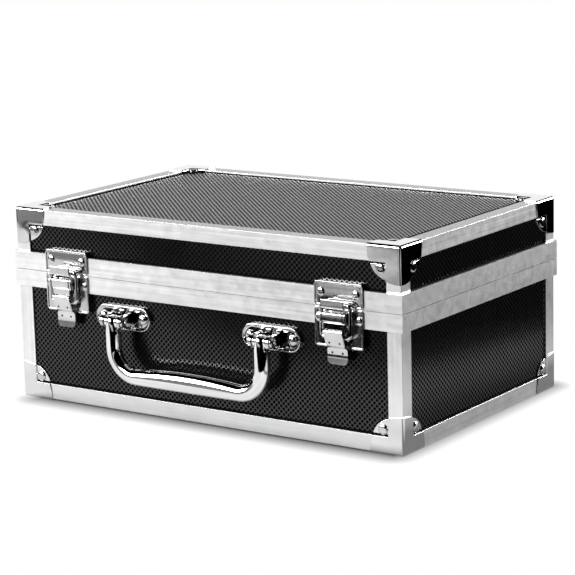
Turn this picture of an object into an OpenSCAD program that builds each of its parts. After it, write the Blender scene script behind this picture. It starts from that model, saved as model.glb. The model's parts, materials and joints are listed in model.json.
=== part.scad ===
// Card slab storage box: a small hard case with black textured panels held in aluminium edge rails,
// eight chrome corner caps, two draw latches, a swing handle, two rear hinges and a foam lining.
// The front of the case faces -Y and it stands on its four bottom corner caps at Z = 0.

/* [Case] */
// Width of the case over its edge rails
case_w = 320; // [280:1:400]
// Depth of the case over its edge rails, front to back
case_d = 203.5; // [150:0.5:300]
// Height of the base, from the underside of its rails to the closing line
base_h = 93.5; // [84:0.1:120]
// Height of the lid, from the closing line to the top of its rails
lid_h = 43.6; // [38.5:0.1:70]

/* [Panels and rails] */
// Thickness of the textured panels
panel_t = 4; // [3:0.1:5]
// Width of the rail leg that shows on each face
rail_leg = 11; // [9:0.1:13]
// Thickness of the rail's outer skin
rail_skin = 1.2; // [0.8:0.1:1.6]
// Thickness of the rail's inner lip
rail_lip = 1; // [0.8:0.1:1.4]
// Wall round the hollow core of the rail
core_wall = 1.4; // [1:0.1:1.8]

/* [Closing bands] */
// How far the bands stand out past the rails
band_proud = 1.8; // [1.6:0.1:2.2]
// Height of the band round the base
base_band_h = 12.2; // [11:0.1:13]
// Height of the band round the lid
lid_band_h = 12.8; // [12.4:0.1:14]
// Wall of the band section
band_t = 1.2; // [0.8:0.1:1.4]
// How far the band's inner lip reaches along the panel
band_lip_h = 3; // [2:0.1:3.4]
// Height of the dust tongue above the base band
tongue_h = 2.2; // [1:0.1:2.4]
// Thickness of the dust tongue
tongue_t = 1; // [0.8:0.1:1.4]

/* [Corner caps] */
// Sheet thickness of the corner caps
cap_t = 0.8; // [0.6:0.1:1.2]
// Reach of a cap along the case's edge
cap_reach = 25.3; // [24:0.1:25.4]
// Reach of a cap along the inner edge of the rail
cap_inner = 23.5; // [22:0.1:24]
// How far the web's long edge bulges out, measured along each leg
cap_bulge = 18.9; // [17.8:0.1:19.4]
// Thickness of the web that lies on the panel
web_t = 0.8; // [0.6:0.1:1]
// Distance of the cap rivets from the case's edges
cap_rivet = 15.2; // [15:0.1:15.6]

/* [Rivets] */
// Radius of the rivet heads
head_r = 3.1; // [2.6:0.1:3.2]
// Height of the rivet heads
head_h = 1.4; // [1:0.1:1.5]
// Radius of the rivet shanks
shank_r = 1.5; // [1.2:0.1:1.8]
// Radius of the tails on the inside
tail_r = 2.4; // [2.1:0.1:2.7]
// Height of the tails on the inside
tail_h = 0.8; // [0.5:0.1:1]

/* [Latches] */
// Distance of each latch's middle from the side of the case
latch_inset = 46; // [45:0.5:60]
// Width of the latch plates
latch_w = 37.6; // [36.5:0.1:40]
// Sheet thickness of the latch plates
latch_t = 1.2; // [1:0.1:1.4]
// Lower edge of the latch base plate, below the closing line
latch_drop = 26.7; // [25:0.1:28]
// Upper edge of the catch plate, above the closing line
catch_rise = 16.7; // [16:0.1:17.4]
// Distance of the base plate's rivets from its side edges
latch_rivet_edge = 3.4; // [3.2:0.1:3.5]
// Height of the base plate's rivets, below the closing line
latch_rivet_z = 7.4; // [7:0.1:8]
// Distance of the catch plate's rivets from its side edges
catch_rivet_edge = 5.3; // [3.8:0.1:6.3]
// Height of the catch plate's rivets, above the closing line
catch_rivet_z = 9.5; // [8.6:0.1:9.5]
// Width of the catch's hook
hook_w = 17; // [15:0.1:18]
// Height of the hook's tip, above the closing line
hook_tip = 6.8; // [6:0.1:7]
// Outer face of the hook, in front of the rails
hook_reach = 11.1; // [11.1:0.1:11.6]

/* [Latch levers] */
// Width of the lever's body
lever_w = 16; // [14:0.1:16]
// Width of the finger tongue
tongue_w = 17.7; // [16.5:0.1:18.4]
// Sheet thickness of the lever
lever_t = 1.2; // [1:0.1:1.4]
// Radius of the lever's rolled head
lever_head_r = 3.3; // [3:0.1:3.6]
// Radius of the pin that the lever turns on
lever_pin_r = 1.5; // [1.2:0.1:1.8]
// The pin's distance in front of the rails
lever_out = 7.5; // [7.4:0.1:7.8]
// The pin's height, below the closing line
lever_drop = 5.2; // [5.1:0.1:5.5]
// Thickness of the two ears that hold the pin
ear_t = 1.2; // [1:0.1:1.3]
// Foot of the finger tongue, below the closing line
lever_foot = 37.4; // [36:0.1:39]

/* [Latch links] */
// Radius of the link's wire
wire_r = 1.2; // [1:0.05:1.25]
// Distance between the centre lines of the link's two arms
link_w = 22; // [21.8:0.1:22.6]
// Bend radius of the link's corners
link_bend = 2.4; // [2:0.1:3]
// The link's distance in front of the rails
link_out = 6.2; // [6:0.05:6.3]
// Height of the link's lower pivots, below the closing line
link_drop = 18.7; // [18.2:0.1:19]
// Length of the link from its pivots to its cross bar
link_len = 21.5; // [21.5:0.1:21.8]

/* [Handle] */
// How far the handle sits to the right of the middle
handle_shift = -3.5; // [-6:0.5:6]
// Height of the handle's brackets, below the closing line
bracket_drop = 26.4; // [24:0.1:28]
// Distance of each bracket's middle from the side of the case, before the shift
bracket_inset = 97.5; // [97:0.5:105]
// Length of a bracket's plate
bracket_l = 47; // [46:0.5:52]
// Height of a bracket's plate
bracket_h = 16.8; // [15:0.1:19]
// Thickness of a bracket's plate
bracket_t = 3; // [2:0.1:3.4]
// Distance of a bracket's rivets from its middle
bracket_rivet = 17; // [16.8:0.1:18]
// Radius of the heads of the bracket's rivets
bracket_head_r = 3.6; // [3:0.1:4]
// Thickness of a bracket's ears
bracket_ear_t = 3.2; // [2.4:0.1:3.4]
// Radius of the ends of the ears
bracket_ear_r = 4.6; // [4.2:0.1:5]
// The handle pin's distance in front of the rails
handle_out = 12.5; // [11:0.1:15]
// Radius of the handle pins
handle_pin_r = 2; // [1.5:0.1:2.5]
// Radius of the handle's bar
bar_r = 5; // [4.5:0.1:5.4]
// Width of the handle's eyes
eye_w = 12; // [10:0.1:12.4]
// Length from the pins to the underside of the grip
handle_l = 43.4; // [38:0.1:48]
// Radius of the bar's centre line at the lower corners
handle_bend = 19; // [14:0.5:22]
// How far the top of the grip is arched up
grip_arch = 3; // [2:0.1:5]

/* [Hinges] */
// Distance of each hinge's middle from the side of the case
hinge_inset = 60; // [50:1:80]
// Width of a hinge
hinge_w = 44; // [38:1:56]
// Height of a hinge leaf, from the closing line
hinge_leaf = 10.8; // [10.4:0.1:10.9]
// Sheet thickness of the leaves
hinge_t = 1.2; // [0.8:0.1:1.4]
// Outer radius of the knuckles
knuckle_r = 2.4; // [2.2:0.1:2.8]
// Radius of the hinge pins
hinge_pin_r = 1.2; // [0.9:0.1:1.4]
// Height of the hinge rivets from the closing line
hinge_rivet_z = 7.2; // [6.8:0.1:7.4]
// Distance of the hinge rivets from a hinge's middle
hinge_rivet_x = 14; // [8:0.5:14.5]

/* [Foam lining] */
// Thickness of the walls at the outer ends of the two rows of card slabs
foam_wall_t = 10; // [6:0.5:20]
// Thickness of the foam floor
floor_foam = 10; // [6:0.5:14]
// Thickness of the foam in the lid
lid_foam_t = 25; // [15:0.5:27]
// Thickness of the divider between the two rows
divider_t = 12; // [8:0.5:16]
// Thickness of the liners along the front and the back
liner_t = 6; // [4:0.5:10]

/* [Fits] */
// Gap between the base band and the lid band
seam_gap = 0.3; // [0.2:0.05:0.4]
// Play of a panel in its groove
panel_fit = 0.1; // [0.05:0.05:0.2]
// Gap between rail ends, posts and bands
joint_gap = 0.1; // [0.05:0.05:0.2]
// Play of a pin in a part that turns on it
pin_fit = 0.06; // [0.04:0.01:0.1]
// Play of a shank in its hole
shank_fit = 0.1; // [0.05:0.05:0.2]
// Side play between a moving part and its ears
side_play = 0.3; // [0.25:0.05:0.4]
// Gap between the foam and the rails' lips
foam_fit = 0.2; // [0.1:0.1:0.4]

/* [Hidden] */
$fn = 48;

// Height of the closing line, and of the whole case over its rails
seam_z = base_h;
case_h = base_h + lid_h;
// A margin that a cutting shape runs past what it cuts
past = 1;
// Depths below the rails' faces: the panel's outer face, its inner face, the groove and the lips
panel_in = rail_skin + panel_t;
groove_in = panel_in + panel_fit;
rail_in = groove_in + rail_lip;
band_in = groove_in + band_t;
// Where a panel's edge stops inside a rail
panel_edge = rail_in + panel_fit;
// Heights of the two bands
base_band_z0 = seam_z - base_band_h;
base_band_z1 = seam_z - seam_gap / 2;
lid_band_z0 = seam_z + seam_gap / 2;
lid_band_z1 = seam_z + lid_band_h;
// Edges of the panels under the bands' webs
base_panel_top = base_band_z1 - band_t - panel_fit;
lid_panel_foot = lid_band_z0 + band_t + panel_fit;
// The tongue stands inside the lid band's lip
tongue_out = band_in + 0.8;
// The legs of a cap end just past the rails, and its webs start there
cap_leg0 = rail_leg + joint_gap / 2;
cap_leg1 = cap_leg0 + web_t;
// Faces of the plates that lie on the bands
plate_out = band_proud + latch_t;
leaf_out = band_proud + hinge_t;
// The hinge pin clears the bands by a knuckle's radius
hinge_x = case_w / 2 - hinge_inset;
hinge_out = band_proud + knuckle_r + 0.2;
hinge_reach = hinge_out + knuckle_r;
// The latch's rivets, lever, link and hook
latch_rivet_x = latch_w / 2 - latch_rivet_edge;
catch_rivet_x = latch_w / 2 - catch_rivet_edge;
latch_x = case_w / 2 - latch_inset;
lever_z = seam_z - lever_drop;
link_z = seam_z - link_drop;
bar_z = link_z + link_len;
lever_ear_x = lever_w / 2 + side_play;
hook_floor = bar_z - wire_r - 0.25;
// The handle's ears, eyes and bar
bracket_z = seam_z - bracket_drop;
bracket_pitch = case_w - 2 * bracket_inset;
bracket_ear_x = eye_w / 2 + side_play;
pin_head_r = bracket_ear_r - 1.3;
pin_head_h = 1.4;
handle_z0 = bracket_z - handle_l;
grip_z = handle_z0 + bar_r;
grip_half = bracket_pitch / 2 - handle_bend;
// The arched web on top of the grip starts inside the bar at both ends
grip_web = 0.62 * bar_r;
grip_end = 0.75 * bar_r;
arch_rise = bar_r + grip_arch - grip_end;
arch_r = (grip_half * grip_half + arch_rise * arch_rise) / (2 * arch_rise);
handle_reach = handle_out + max(bar_r, bracket_ear_r);
// The whole case is set so that its box is centred on the origin
case_y = (handle_reach - hinge_reach) / 2;
// Foam
foam_x = case_w / 2 - rail_in - foam_fit;
foam_y = case_d / 2 - band_in - foam_fit;
foam_z0 = rail_in + foam_fit;
foam_z1 = foam_z0 + floor_foam;
foam_top = base_panel_top - 1;
lid_foam_z1 = case_h - rail_in - foam_fit;

// Frames on the faces of the case: X runs along the face, Y up it and Z straight out of it
module on_front() translate([0, -case_d / 2, 0]) rotate([90, 0, 0]) children();
module on_back() rotate([0, 0, 180]) on_front() children();
module on_right() translate([case_w / 2, 0, 0]) rotate([90, 0, 90]) children();
module on_left() rotate([0, 0, 180]) on_right() children();
module on_bottom() rotate([180, 0, 0]) children();
module on_top() translate([0, 0, case_h]) children();

// A frame in one corner of the case, whose three axes all run inwards along the edges
module at_corner(side, back, lid) {
    translate([side * case_w / 2, back * case_d / 2, lid ? case_h : 0])
        mirror([side > 0 ? 1 : 0, 0, 0])
            mirror([0, back > 0 ? 1 : 0, 0])
                mirror([0, 0, lid ? 1 : 0])
                    children();
}

// Lifts the case onto its bottom caps and centres it
module stand() translate([0, case_y, cap_t]) children();

// An outline drawn as (up, out), made into a bar along X of the face's frame
module side_bar(length) rotate([90, 0, 90]) linear_extrude(length, center = true) children();

// A block from one corner to the other
module block(low, high) translate(low) cube(high - low);

// A box-shaped ring round the case, between two offsets from the rails' faces
module ring(outer, inner, z0, z1) {
    difference() {
        block([-case_w / 2 - outer, -case_d / 2 - outer, z0], [case_w / 2 + outer, case_d / 2 + outer, z1]);
        block([-case_w / 2 - inner, -case_d / 2 - inner, z0 - past],
              [case_w / 2 + inner, case_d / 2 + inner, z1 + past]);
    }
}

// A rectangle with rounded corners
module round_rect(low, high, r) {
    translate([low[0] + r, low[1]]) square([high[0] - low[0] - 2 * r, high[1] - low[1]]);
    translate([low[0], low[1] + r]) square([high[0] - low[0], high[1] - low[1] - 2 * r]);
    for (x = [low[0] + r, high[0] - r], y = [low[1] + r, high[1] - r]) translate([x, y]) circle(r);
}

// Rivets: a domed head on the outside, a shank and a flat tail on the inside

// One rivet along Z, with its head seated at one depth and its tail at another
module rivet(seat, tail, r = head_r) {
    dome_r = (r * r + head_h * head_h) / (2 * head_h);
    intersection() {
        translate([0, 0, seat + head_h - dome_r]) sphere(dome_r);
        translate([0, 0, seat]) cylinder(h = head_h, r = r);
    }
    translate([0, 0, tail - tail_h / 2]) cylinder(h = seat - tail + tail_h / 2, r = shank_r);
    translate([0, 0, tail - tail_h]) cylinder(h = tail_h, r = tail_r);
}

// The hole that a shank passes through
module rivet_hole() {
    translate([0, 0, -rail_in - 3 * past])
        cylinder(h = rail_in + band_proud + 6 * past, r = shank_r + shank_fit);
}

// Places of the rivets on a face: under the caps, the latches, the brackets and the hinges
module at_cap_rivets(half, z) for (s = [-1, 1]) translate([s * (half - cap_rivet), z, 0]) children();
module at_latch_rivets() {
    for (s = [-1, 1], t = [-1, 1])
        translate([s * latch_x + t * latch_rivet_x, seam_z - latch_rivet_z, 0]) children();
}
module at_catch_rivets() {
    for (s = [-1, 1], t = [-1, 1])
        translate([s * latch_x + t * catch_rivet_x, seam_z + catch_rivet_z, 0]) children();
}
module at_bracket_rivets() {
    for (s = [-1, 1], t = [-1, 1])
        translate([handle_shift + s * bracket_pitch / 2 + t * bracket_rivet, bracket_z, 0]) children();
}
module at_hinge_rivets(side) {
    for (s = [-1, 1], t = [-1, 1])
        translate([s * hinge_x + t * hinge_rivet_x, seam_z + side * hinge_rivet_z, 0]) children();
}

// Panels

// A panel on a face's frame, with its edges held inside the rails and the bands
module face_panel(half, z0, z1) {
    block([-half + panel_edge, z0, -panel_in], [half - panel_edge, z1, -rail_skin]);
}
module base_front_panel() color("#202022") on_front() difference() {
    face_panel(case_w / 2, panel_edge, base_panel_top);
    at_cap_rivets(case_w / 2, cap_rivet) rivet_hole();
    at_latch_rivets() rivet_hole();
    at_bracket_rivets() rivet_hole();
}
module base_back_panel() color("#202022") on_back() difference() {
    face_panel(case_w / 2, panel_edge, base_panel_top);
    at_cap_rivets(case_w / 2, cap_rivet) rivet_hole();
    at_hinge_rivets(-1) rivet_hole();
}
module base_side_panel() difference() {
    face_panel(case_d / 2, panel_edge, base_panel_top);
    at_cap_rivets(case_d / 2, cap_rivet) rivet_hole();
}
module base_left_panel() color("#202022") on_left() base_side_panel();
module base_right_panel() color("#202022") on_right() base_side_panel();
module flat_panel() difference() {
    block([-case_w / 2 + panel_edge, -case_d / 2 + panel_edge, -panel_in],
          [case_w / 2 - panel_edge, case_d / 2 - panel_edge, -rail_skin]);
    for (s = [-1, 1]) at_cap_rivets(case_w / 2, s * (case_d / 2 - cap_rivet)) rivet_hole();
}
module base_bottom_panel() color("#202022") on_bottom() flat_panel();
module lid_top_panel() color("#202022") on_top() flat_panel();
module lid_front_panel() color("#202022") on_front() difference() {
    face_panel(case_w / 2, lid_panel_foot, case_h - panel_edge);
    at_cap_rivets(case_w / 2, case_h - cap_rivet) rivet_hole();
    at_catch_rivets() rivet_hole();
}
module lid_back_panel() color("#202022") on_back() difference() {
    face_panel(case_w / 2, lid_panel_foot, case_h - panel_edge);
    at_cap_rivets(case_w / 2, case_h - cap_rivet) rivet_hole();
    at_hinge_rivets(1) rivet_hole();
}
module lid_side_panel() difference() {
    face_panel(case_d / 2, lid_panel_foot, case_h - panel_edge);
    at_cap_rivets(case_d / 2, case_h - cap_rivet) rivet_hole();
}
module lid_left_panel() color("#202022") on_left() lid_side_panel();
module lid_right_panel() color("#202022") on_right() lid_side_panel();

// Edge rails and posts, all cut from one extrusion

// Section of the extrusion: two outer legs, two grooves for the panels, two inner lips and a core
module rail_section() {
    difference() {
        polygon([
            [0, 0], [rail_leg, 0], [rail_leg, rail_skin], [rail_in, rail_skin], [rail_in, groove_in],
            [rail_leg, groove_in], [rail_leg, rail_in], [rail_in, rail_in], [rail_in, rail_leg],
            [groove_in, rail_leg], [groove_in, rail_in], [rail_skin, rail_in], [rail_skin, rail_leg],
            [0, rail_leg]
        ]);
        translate([core_wall, core_wall]) square(rail_in - 2 * core_wall);
    }
}

// A rail along X with its outer edge on the axis, mitred at both ends
module rail(length) {
    end = length / 2 - joint_gap / 2;
    intersection() {
        rotate([90, 0, 90]) linear_extrude(length, center = true) rail_section();
        linear_extrude(rail_leg) polygon([
            [-end, 0], [end, 0], [end - rail_leg, rail_leg], [rail_leg - end, rail_leg]
        ]);
    }
}
module rails_front() translate([0, -case_d / 2, 0]) rail(case_w);
module rails_right() translate([case_w / 2, 0, 0]) rotate([0, 0, 90]) rail(case_d);
module base_rail_front() color("#c9cbcd") rails_front();
module base_rail_back() color("#c9cbcd") rotate([0, 0, 180]) rails_front();
module base_rail_right() color("#c9cbcd") rails_right();
module base_rail_left() color("#c9cbcd") rotate([0, 0, 180]) rails_right();
module turned_up() translate([0, 0, case_h]) mirror([0, 0, 1]) children();
module lid_rail_front() color("#c9cbcd") turned_up() rails_front();
module lid_rail_back() color("#c9cbcd") turned_up() rotate([0, 0, 180]) rails_front();
module lid_rail_right() color("#c9cbcd") turned_up() rails_right();
module lid_rail_left() color("#c9cbcd") turned_up() rotate([0, 0, 180]) rails_right();

// Four upright posts between two heights
module posts(z0, z1) {
    for (side = [-1, 1], back = [-1, 1])
        at_corner(side, back, false)
            translate([0, 0, z0]) linear_extrude(z1 - z0) rail_section();
}
module base_posts() color("#c9cbcd") posts(rail_leg + joint_gap / 2, base_band_z0 - joint_gap / 2);
module lid_posts() color("#c9cbcd") posts(lid_band_z1 + joint_gap / 2, case_h - rail_leg - joint_gap / 2);

// Closing bands

// The base band holds the panels' top edges, and its tongue keeps dust out of the seam
module base_closing_band() color("#d4d6d8") difference() {
    union() {
        ring(band_proud, band_proud - band_t, base_band_z0, base_band_z1);
        ring(band_proud - band_t / 2, -rail_skin, base_band_z0, base_band_z0 + band_t);
        ring(band_proud - band_t / 2, -tongue_out - tongue_t, base_band_z1 - band_t, base_band_z1);
        ring(-groove_in, -band_in, base_band_z1 - band_t - band_lip_h, base_band_z1 - band_t / 2);
        ring(-tongue_out, -tongue_out - tongue_t, base_band_z1 - band_t / 2, base_band_z1 + tongue_h);
    }
    on_front() at_latch_rivets() rivet_hole();
    on_back() at_hinge_rivets(-1) rivet_hole();
}
// The lid band closes over the tongue
module lid_closing_band() color("#d4d6d8") difference() {
    union() {
        ring(band_proud, band_proud - band_t, lid_band_z0, lid_band_z1);
        ring(band_proud - band_t / 2, -rail_skin, lid_band_z1 - band_t, lid_band_z1);
        ring(band_proud - band_t / 2, -band_in, lid_band_z0, lid_band_z0 + band_t);
        ring(-groove_in, -band_in, lid_band_z0 + band_t / 2, lid_band_z0 + band_t + band_lip_h);
    }
    on_front() at_catch_rivets() rivet_hole();
    on_back() at_hinge_rivets(1) rivet_hole();
}

// Corner caps: pressed chrome sheet with three legs, and three webs that are riveted to the panels

// Turns one face of a cap into the three of them
module three_faces() for (k = [0:2]) rotate(a = 120 * k, v = [1, 1, 1]) children();
module corner_cap() {
    difference() {
        union() {
            three_faces() {
                translate([0, 0, -cap_t]) linear_extrude(cap_t) polygon([
                    [0, 0], [cap_reach, 0], [cap_inner, cap_leg1], [cap_leg1, cap_leg1],
                    [cap_leg1, cap_inner], [0, cap_reach]
                ]);
                rotate([0, 90, 0]) cylinder(h = cap_reach, r = cap_t);
            }
            sphere(cap_t);
        }
        cube(cap_reach + past);
    }
    three_faces() difference() {
        union() {
            translate([0, 0, rail_skin - web_t]) linear_extrude(web_t) polygon([
                [cap_leg0, cap_leg0], [cap_inner, cap_leg0], [cap_bulge, cap_bulge], [cap_leg0, cap_inner]
            ]);
            translate([0, 0, -cap_t]) linear_extrude(cap_t + rail_skin) polygon([
                [cap_leg0, cap_leg0], [cap_inner, cap_leg0], [cap_inner, cap_leg1],
                [cap_leg1, cap_leg1], [cap_leg1, cap_inner], [cap_leg0, cap_inner]
            ]);
        }
        translate([cap_rivet, cap_rivet, -cap_t])
            cylinder(h = 2 * cap_t + rail_skin, r = shank_r + shank_fit);
    }
}
module base_cap_front_left() color("#e2e4e6") at_corner(-1, -1, false) corner_cap();
module base_cap_front_right() color("#e2e4e6") at_corner(1, -1, false) corner_cap();
module base_cap_back_left() color("#e2e4e6") at_corner(-1, 1, false) corner_cap();
module base_cap_back_right() color("#e2e4e6") at_corner(1, 1, false) corner_cap();
module lid_cap_front_left() color("#e2e4e6") at_corner(-1, -1, true) corner_cap();
module lid_cap_front_right() color("#e2e4e6") at_corner(1, -1, true) corner_cap();
module lid_cap_back_left() color("#e2e4e6") at_corner(-1, 1, true) corner_cap();
module lid_cap_back_right() color("#e2e4e6") at_corner(1, 1, true) corner_cap();

// The three rivets of each of four caps
module cap_rivets(lid) {
    for (side = [-1, 1], back = [-1, 1])
        at_corner(side, back, lid)
            three_faces()
                translate([cap_rivet, cap_rivet, 0]) mirror([0, 0, 1]) rivet(web_t - rail_skin, -panel_in);
}
module base_cap_rivets() color("#b9bcbf") cap_rivets(false);
module lid_cap_rivets() color("#b9bcbf") cap_rivets(true);

// Latches, drawn for a latch in the middle of the front

// Moves a latch to the left (-1) or the right (1)
module at_latch(side) on_front() translate([side * latch_x, 0, 0]) children();

// A plate with returned edges past the band, where it stands clear of the panel
module returned_plate(z0, z1, r0, r1) {
    half = latch_w / 2;
    translate([0, 0, band_proud]) linear_extrude(latch_t) round_rect([-half, z0], [half, z1], 2 * latch_t);
    for (s = [-1, 1])
        translate([s * (half - latch_t / 2), (r0 + r1) / 2, (band_proud - rail_skin) / 2])
            cube([latch_t, r1 - r0, band_proud + rail_skin], center = true);
}
module latch_plate() {
    z0 = seam_z - latch_drop;
    z1 = base_band_z1 - joint_gap;
    r1 = base_band_z0 - joint_gap / 2;
    r0 = z0 + 2 * latch_t;
    half = latch_w / 2;
    difference() {
        union() {
            returned_plate(z0, z1, r0, r1);
            block([-half + 2 * latch_t, z0, -rail_skin], [half - 2 * latch_t, z0 + latch_t, band_proud]);
            for (s = [-1, 1]) translate([s * (lever_ear_x + ear_t / 2), 0, 0]) side_bar(ear_t) {
                translate([lever_z, lever_out]) circle(lever_head_r);
                translate([lever_z - lever_head_r, band_proud + latch_t / 2])
                    square([2 * lever_head_r, lever_out - band_proud - latch_t / 2]);
            }
        }
        for (s = [-1, 1])
            translate([s * latch_rivet_x, seam_z - latch_rivet_z, 0]) rivet_hole();
        translate([0, lever_z, lever_out]) rotate([0, 90, 0])
            cylinder(h = latch_w, r = lever_pin_r + pin_fit / 2, center = true);
    }
}
module latch_plate_left() color("#d7d9db") at_latch(-1) latch_plate();
module latch_plate_right() color("#d7d9db") at_latch(1) latch_plate();

// The lever's pin, flush with the ears
module latch_pins() color("#9ea1a4") for (side = [-1, 1]) at_latch(side)
    translate([0, lever_z, lever_out]) rotate([0, 90, 0])
        cylinder(h = 2 * (lever_ear_x + ear_t), r = lever_pin_r, center = true);

// The catch on the lid: a plate whose foot is folded up into a hook for the link's cross bar
module catch_plate() {
    z0 = lid_band_z0 + joint_gap / 2;
    z1 = seam_z + catch_rise;
    r0 = lid_band_z1 + joint_gap / 2;
    r1 = z1 - 2 * latch_t;
    half = latch_w / 2;
    difference() {
        union() {
            returned_plate(z0, z1, r0, r1);
            block([-half + 2 * latch_t, z1 - latch_t, -rail_skin], [half - 2 * latch_t, z1, band_proud]);
            side_bar(hook_w) polygon([
                [z0, band_proud + latch_t / 2], [z0, hook_reach], [seam_z + hook_tip, hook_reach],
                [seam_z + hook_tip, hook_reach - latch_t], [hook_floor, hook_reach - latch_t],
                [hook_floor, band_proud + latch_t / 2]
            ]);
        }
        for (s = [-1, 1])
            translate([s * catch_rivet_x, seam_z + catch_rivet_z, 0]) rivet_hole();
    }
}
module catch_plate_left() color("#d7d9db") at_latch(-1) catch_plate();
module catch_plate_right() color("#d7d9db") at_latch(1) catch_plate();

// The lever: a folded channel with a rolled head, two flanges and a stepped finger tongue
module latch_lever() {
    body_half = lever_w / 2;
    foot_half = tongue_w / 2;
    step_z = link_z - 7;
    foot_z = seam_z - lever_foot;
    crest = lever_out + lever_head_r;
    knee_z = link_z + 5;
    knee_out = crest + 0.5;
    neck_out = lever_out + 0.1;
    tip_out = plate_out + 0.6 + lever_t;
    difference() {
        intersection() {
            union() {
                side_bar(tongue_w) {
                    translate([lever_z, lever_out]) circle(lever_head_r);
                    polygon([
                        [lever_z, crest], [knee_z + 3, crest], [knee_z, knee_out], [step_z + 0.4, neck_out],
                        [step_z - 0.8, tip_out], [step_z - 6, tip_out], [foot_z, tip_out + 1.6],
                        [foot_z, tip_out + 1.6 - lever_t], [step_z - 6, tip_out - lever_t],
                        [step_z + 0.4, tip_out - lever_t], [step_z + 1.2, neck_out - lever_t],
                        [knee_z, knee_out - lever_t], [knee_z + 3, crest - lever_t],
                        [lever_z, crest - lever_t]
                    ]);
                }
                for (s = [-1, 1]) translate([s * (body_half - lever_t / 2), 0, 0]) side_bar(lever_t) polygon([
                    [lever_z, crest - lever_t / 2], [knee_z + 3, crest - lever_t / 2],
                    [knee_z, knee_out - lever_t / 2], [step_z + 1.2, neck_out - lever_t / 2],
                    [step_z + 2.5, plate_out + lever_t], [lever_z, plate_out + lever_t]
                ]);
            }
            union() {
                linear_extrude(hook_reach + lever_out) polygon([
                    [-body_half, lever_z + 2 * lever_head_r], [body_half, lever_z + 2 * lever_head_r],
                    [body_half, knee_z], [body_half - 0.7, step_z], [0.7 - body_half, step_z],
                    [-body_half, knee_z]
                ]);
                linear_extrude(hook_reach + lever_out)
                    round_rect([-foot_half, foot_z], [foot_half, step_z + 0.6], 3);
            }
        }
        translate([0, lever_z, lever_out]) rotate([0, 90, 0])
            cylinder(h = latch_w, r = lever_pin_r + pin_fit, center = true);
        translate([0, link_z, link_out]) rotate([0, 90, 0])
            cylinder(h = latch_w, r = wire_r + pin_fit, center = true);
        for (s = [-1, 1]) {
            translate([s * lever_w / 4, step_z + 3, lever_out - lever_t]) cylinder(h = lever_out, r = 0.8);
            translate([s * lever_w / 4, step_z - 4, 0]) cylinder(h = lever_out, r = 0.8);
        }
    }
}
module latch_lever_left() color("#eceded") at_latch(-1) latch_lever();
module latch_lever_right() color("#eceded") at_latch(1) latch_lever();

// The link: a wire bail whose feet turn in the lever's flanges and whose cross bar sits in the hook
module latch_link() {
    arm_x = link_w / 2;
    foot_x = lever_w / 2 - 2 * lever_t;
    color("#d9dbdd") translate([0, 0, link_out]) {
        translate([0, bar_z, 0]) rotate([0, 90, 0])
            cylinder(h = link_w - 2 * link_bend, r = wire_r, center = true);
        for (s = [-1, 1]) mirror([s < 0 ? 1 : 0, 0, 0]) {
            translate([arm_x, link_z + link_bend, 0]) rotate([-90, 0, 0])
                cylinder(h = link_len - 2 * link_bend, r = wire_r);
            translate([arm_x - link_bend, bar_z - link_bend, 0])
                rotate_extrude(angle = 90) translate([link_bend, 0]) circle(wire_r);
            translate([arm_x - link_bend, link_z + link_bend, 0])
                rotate([0, 0, -90]) rotate_extrude(angle = 90) translate([link_bend, 0]) circle(wire_r);
            translate([foot_x, link_z, 0]) rotate([0, 90, 0])
                cylinder(h = arm_x - link_bend - foot_x, r = wire_r);
        }
    }
}
module latch_link_left() at_latch(-1) latch_link();
module latch_link_right() at_latch(1) latch_link();

// Handle

// Moves a bracket to the left (-1) or the right (1)
module at_bracket(side) on_front()
    translate([handle_shift + side * bracket_pitch / 2, bracket_z, 0]) children();

// A bracket: a long plate with round ends and two ears that carry the handle's pin
module handle_bracket() {
    seat = bracket_t - rail_skin;
    difference() {
        union() {
            translate([0, 0, -rail_skin]) linear_extrude(bracket_t) {
                square([bracket_l - bracket_h, bracket_h], center = true);
                for (s = [-1, 1]) translate([s * (bracket_l - bracket_h) / 2, 0]) circle(bracket_h / 2);
            }
            for (s = [-1, 1])
                translate([s * (bracket_ear_x + bracket_ear_t / 2), 0, 0]) side_bar(bracket_ear_t) {
                    translate([0, handle_out]) circle(bracket_ear_r);
                    translate([-bracket_ear_r, seat / 2])
                        square([2 * bracket_ear_r, handle_out - seat / 2]);
                }
        }
        translate([0, 0, handle_out]) rotate([0, 90, 0])
            cylinder(h = bracket_l, r = handle_pin_r + pin_fit / 2, center = true);
        for (s = [-1, 1]) translate([s * bracket_rivet, 0, 0]) rivet_hole();
    }
}
module handle_bracket_left() color("#dfe1e3") at_bracket(-1) handle_bracket();
module handle_bracket_right() color("#dfe1e3") at_bracket(1) handle_bracket();

// The handle's pins, with a round head outside each ear
module handle_pins() color("#b9bcbf") for (side = [-1, 1]) at_bracket(side)
    translate([0, 0, handle_out]) rotate([0, 90, 0]) {
        cylinder(h = 2 * (bracket_ear_x + bracket_ear_t) + pin_head_h, r = handle_pin_r, center = true);
        for (s = [-1, 1])
            translate([0, 0, s * (bracket_ear_x + bracket_ear_t + pin_head_h / 2)])
                cylinder(h = pin_head_h, r = pin_head_r, center = true);
    }
module handle_bracket_rivets() color("#b9bcbf") on_front()
    at_bracket_rivets() rivet(bracket_t - rail_skin, -panel_in, bracket_head_r);

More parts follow.
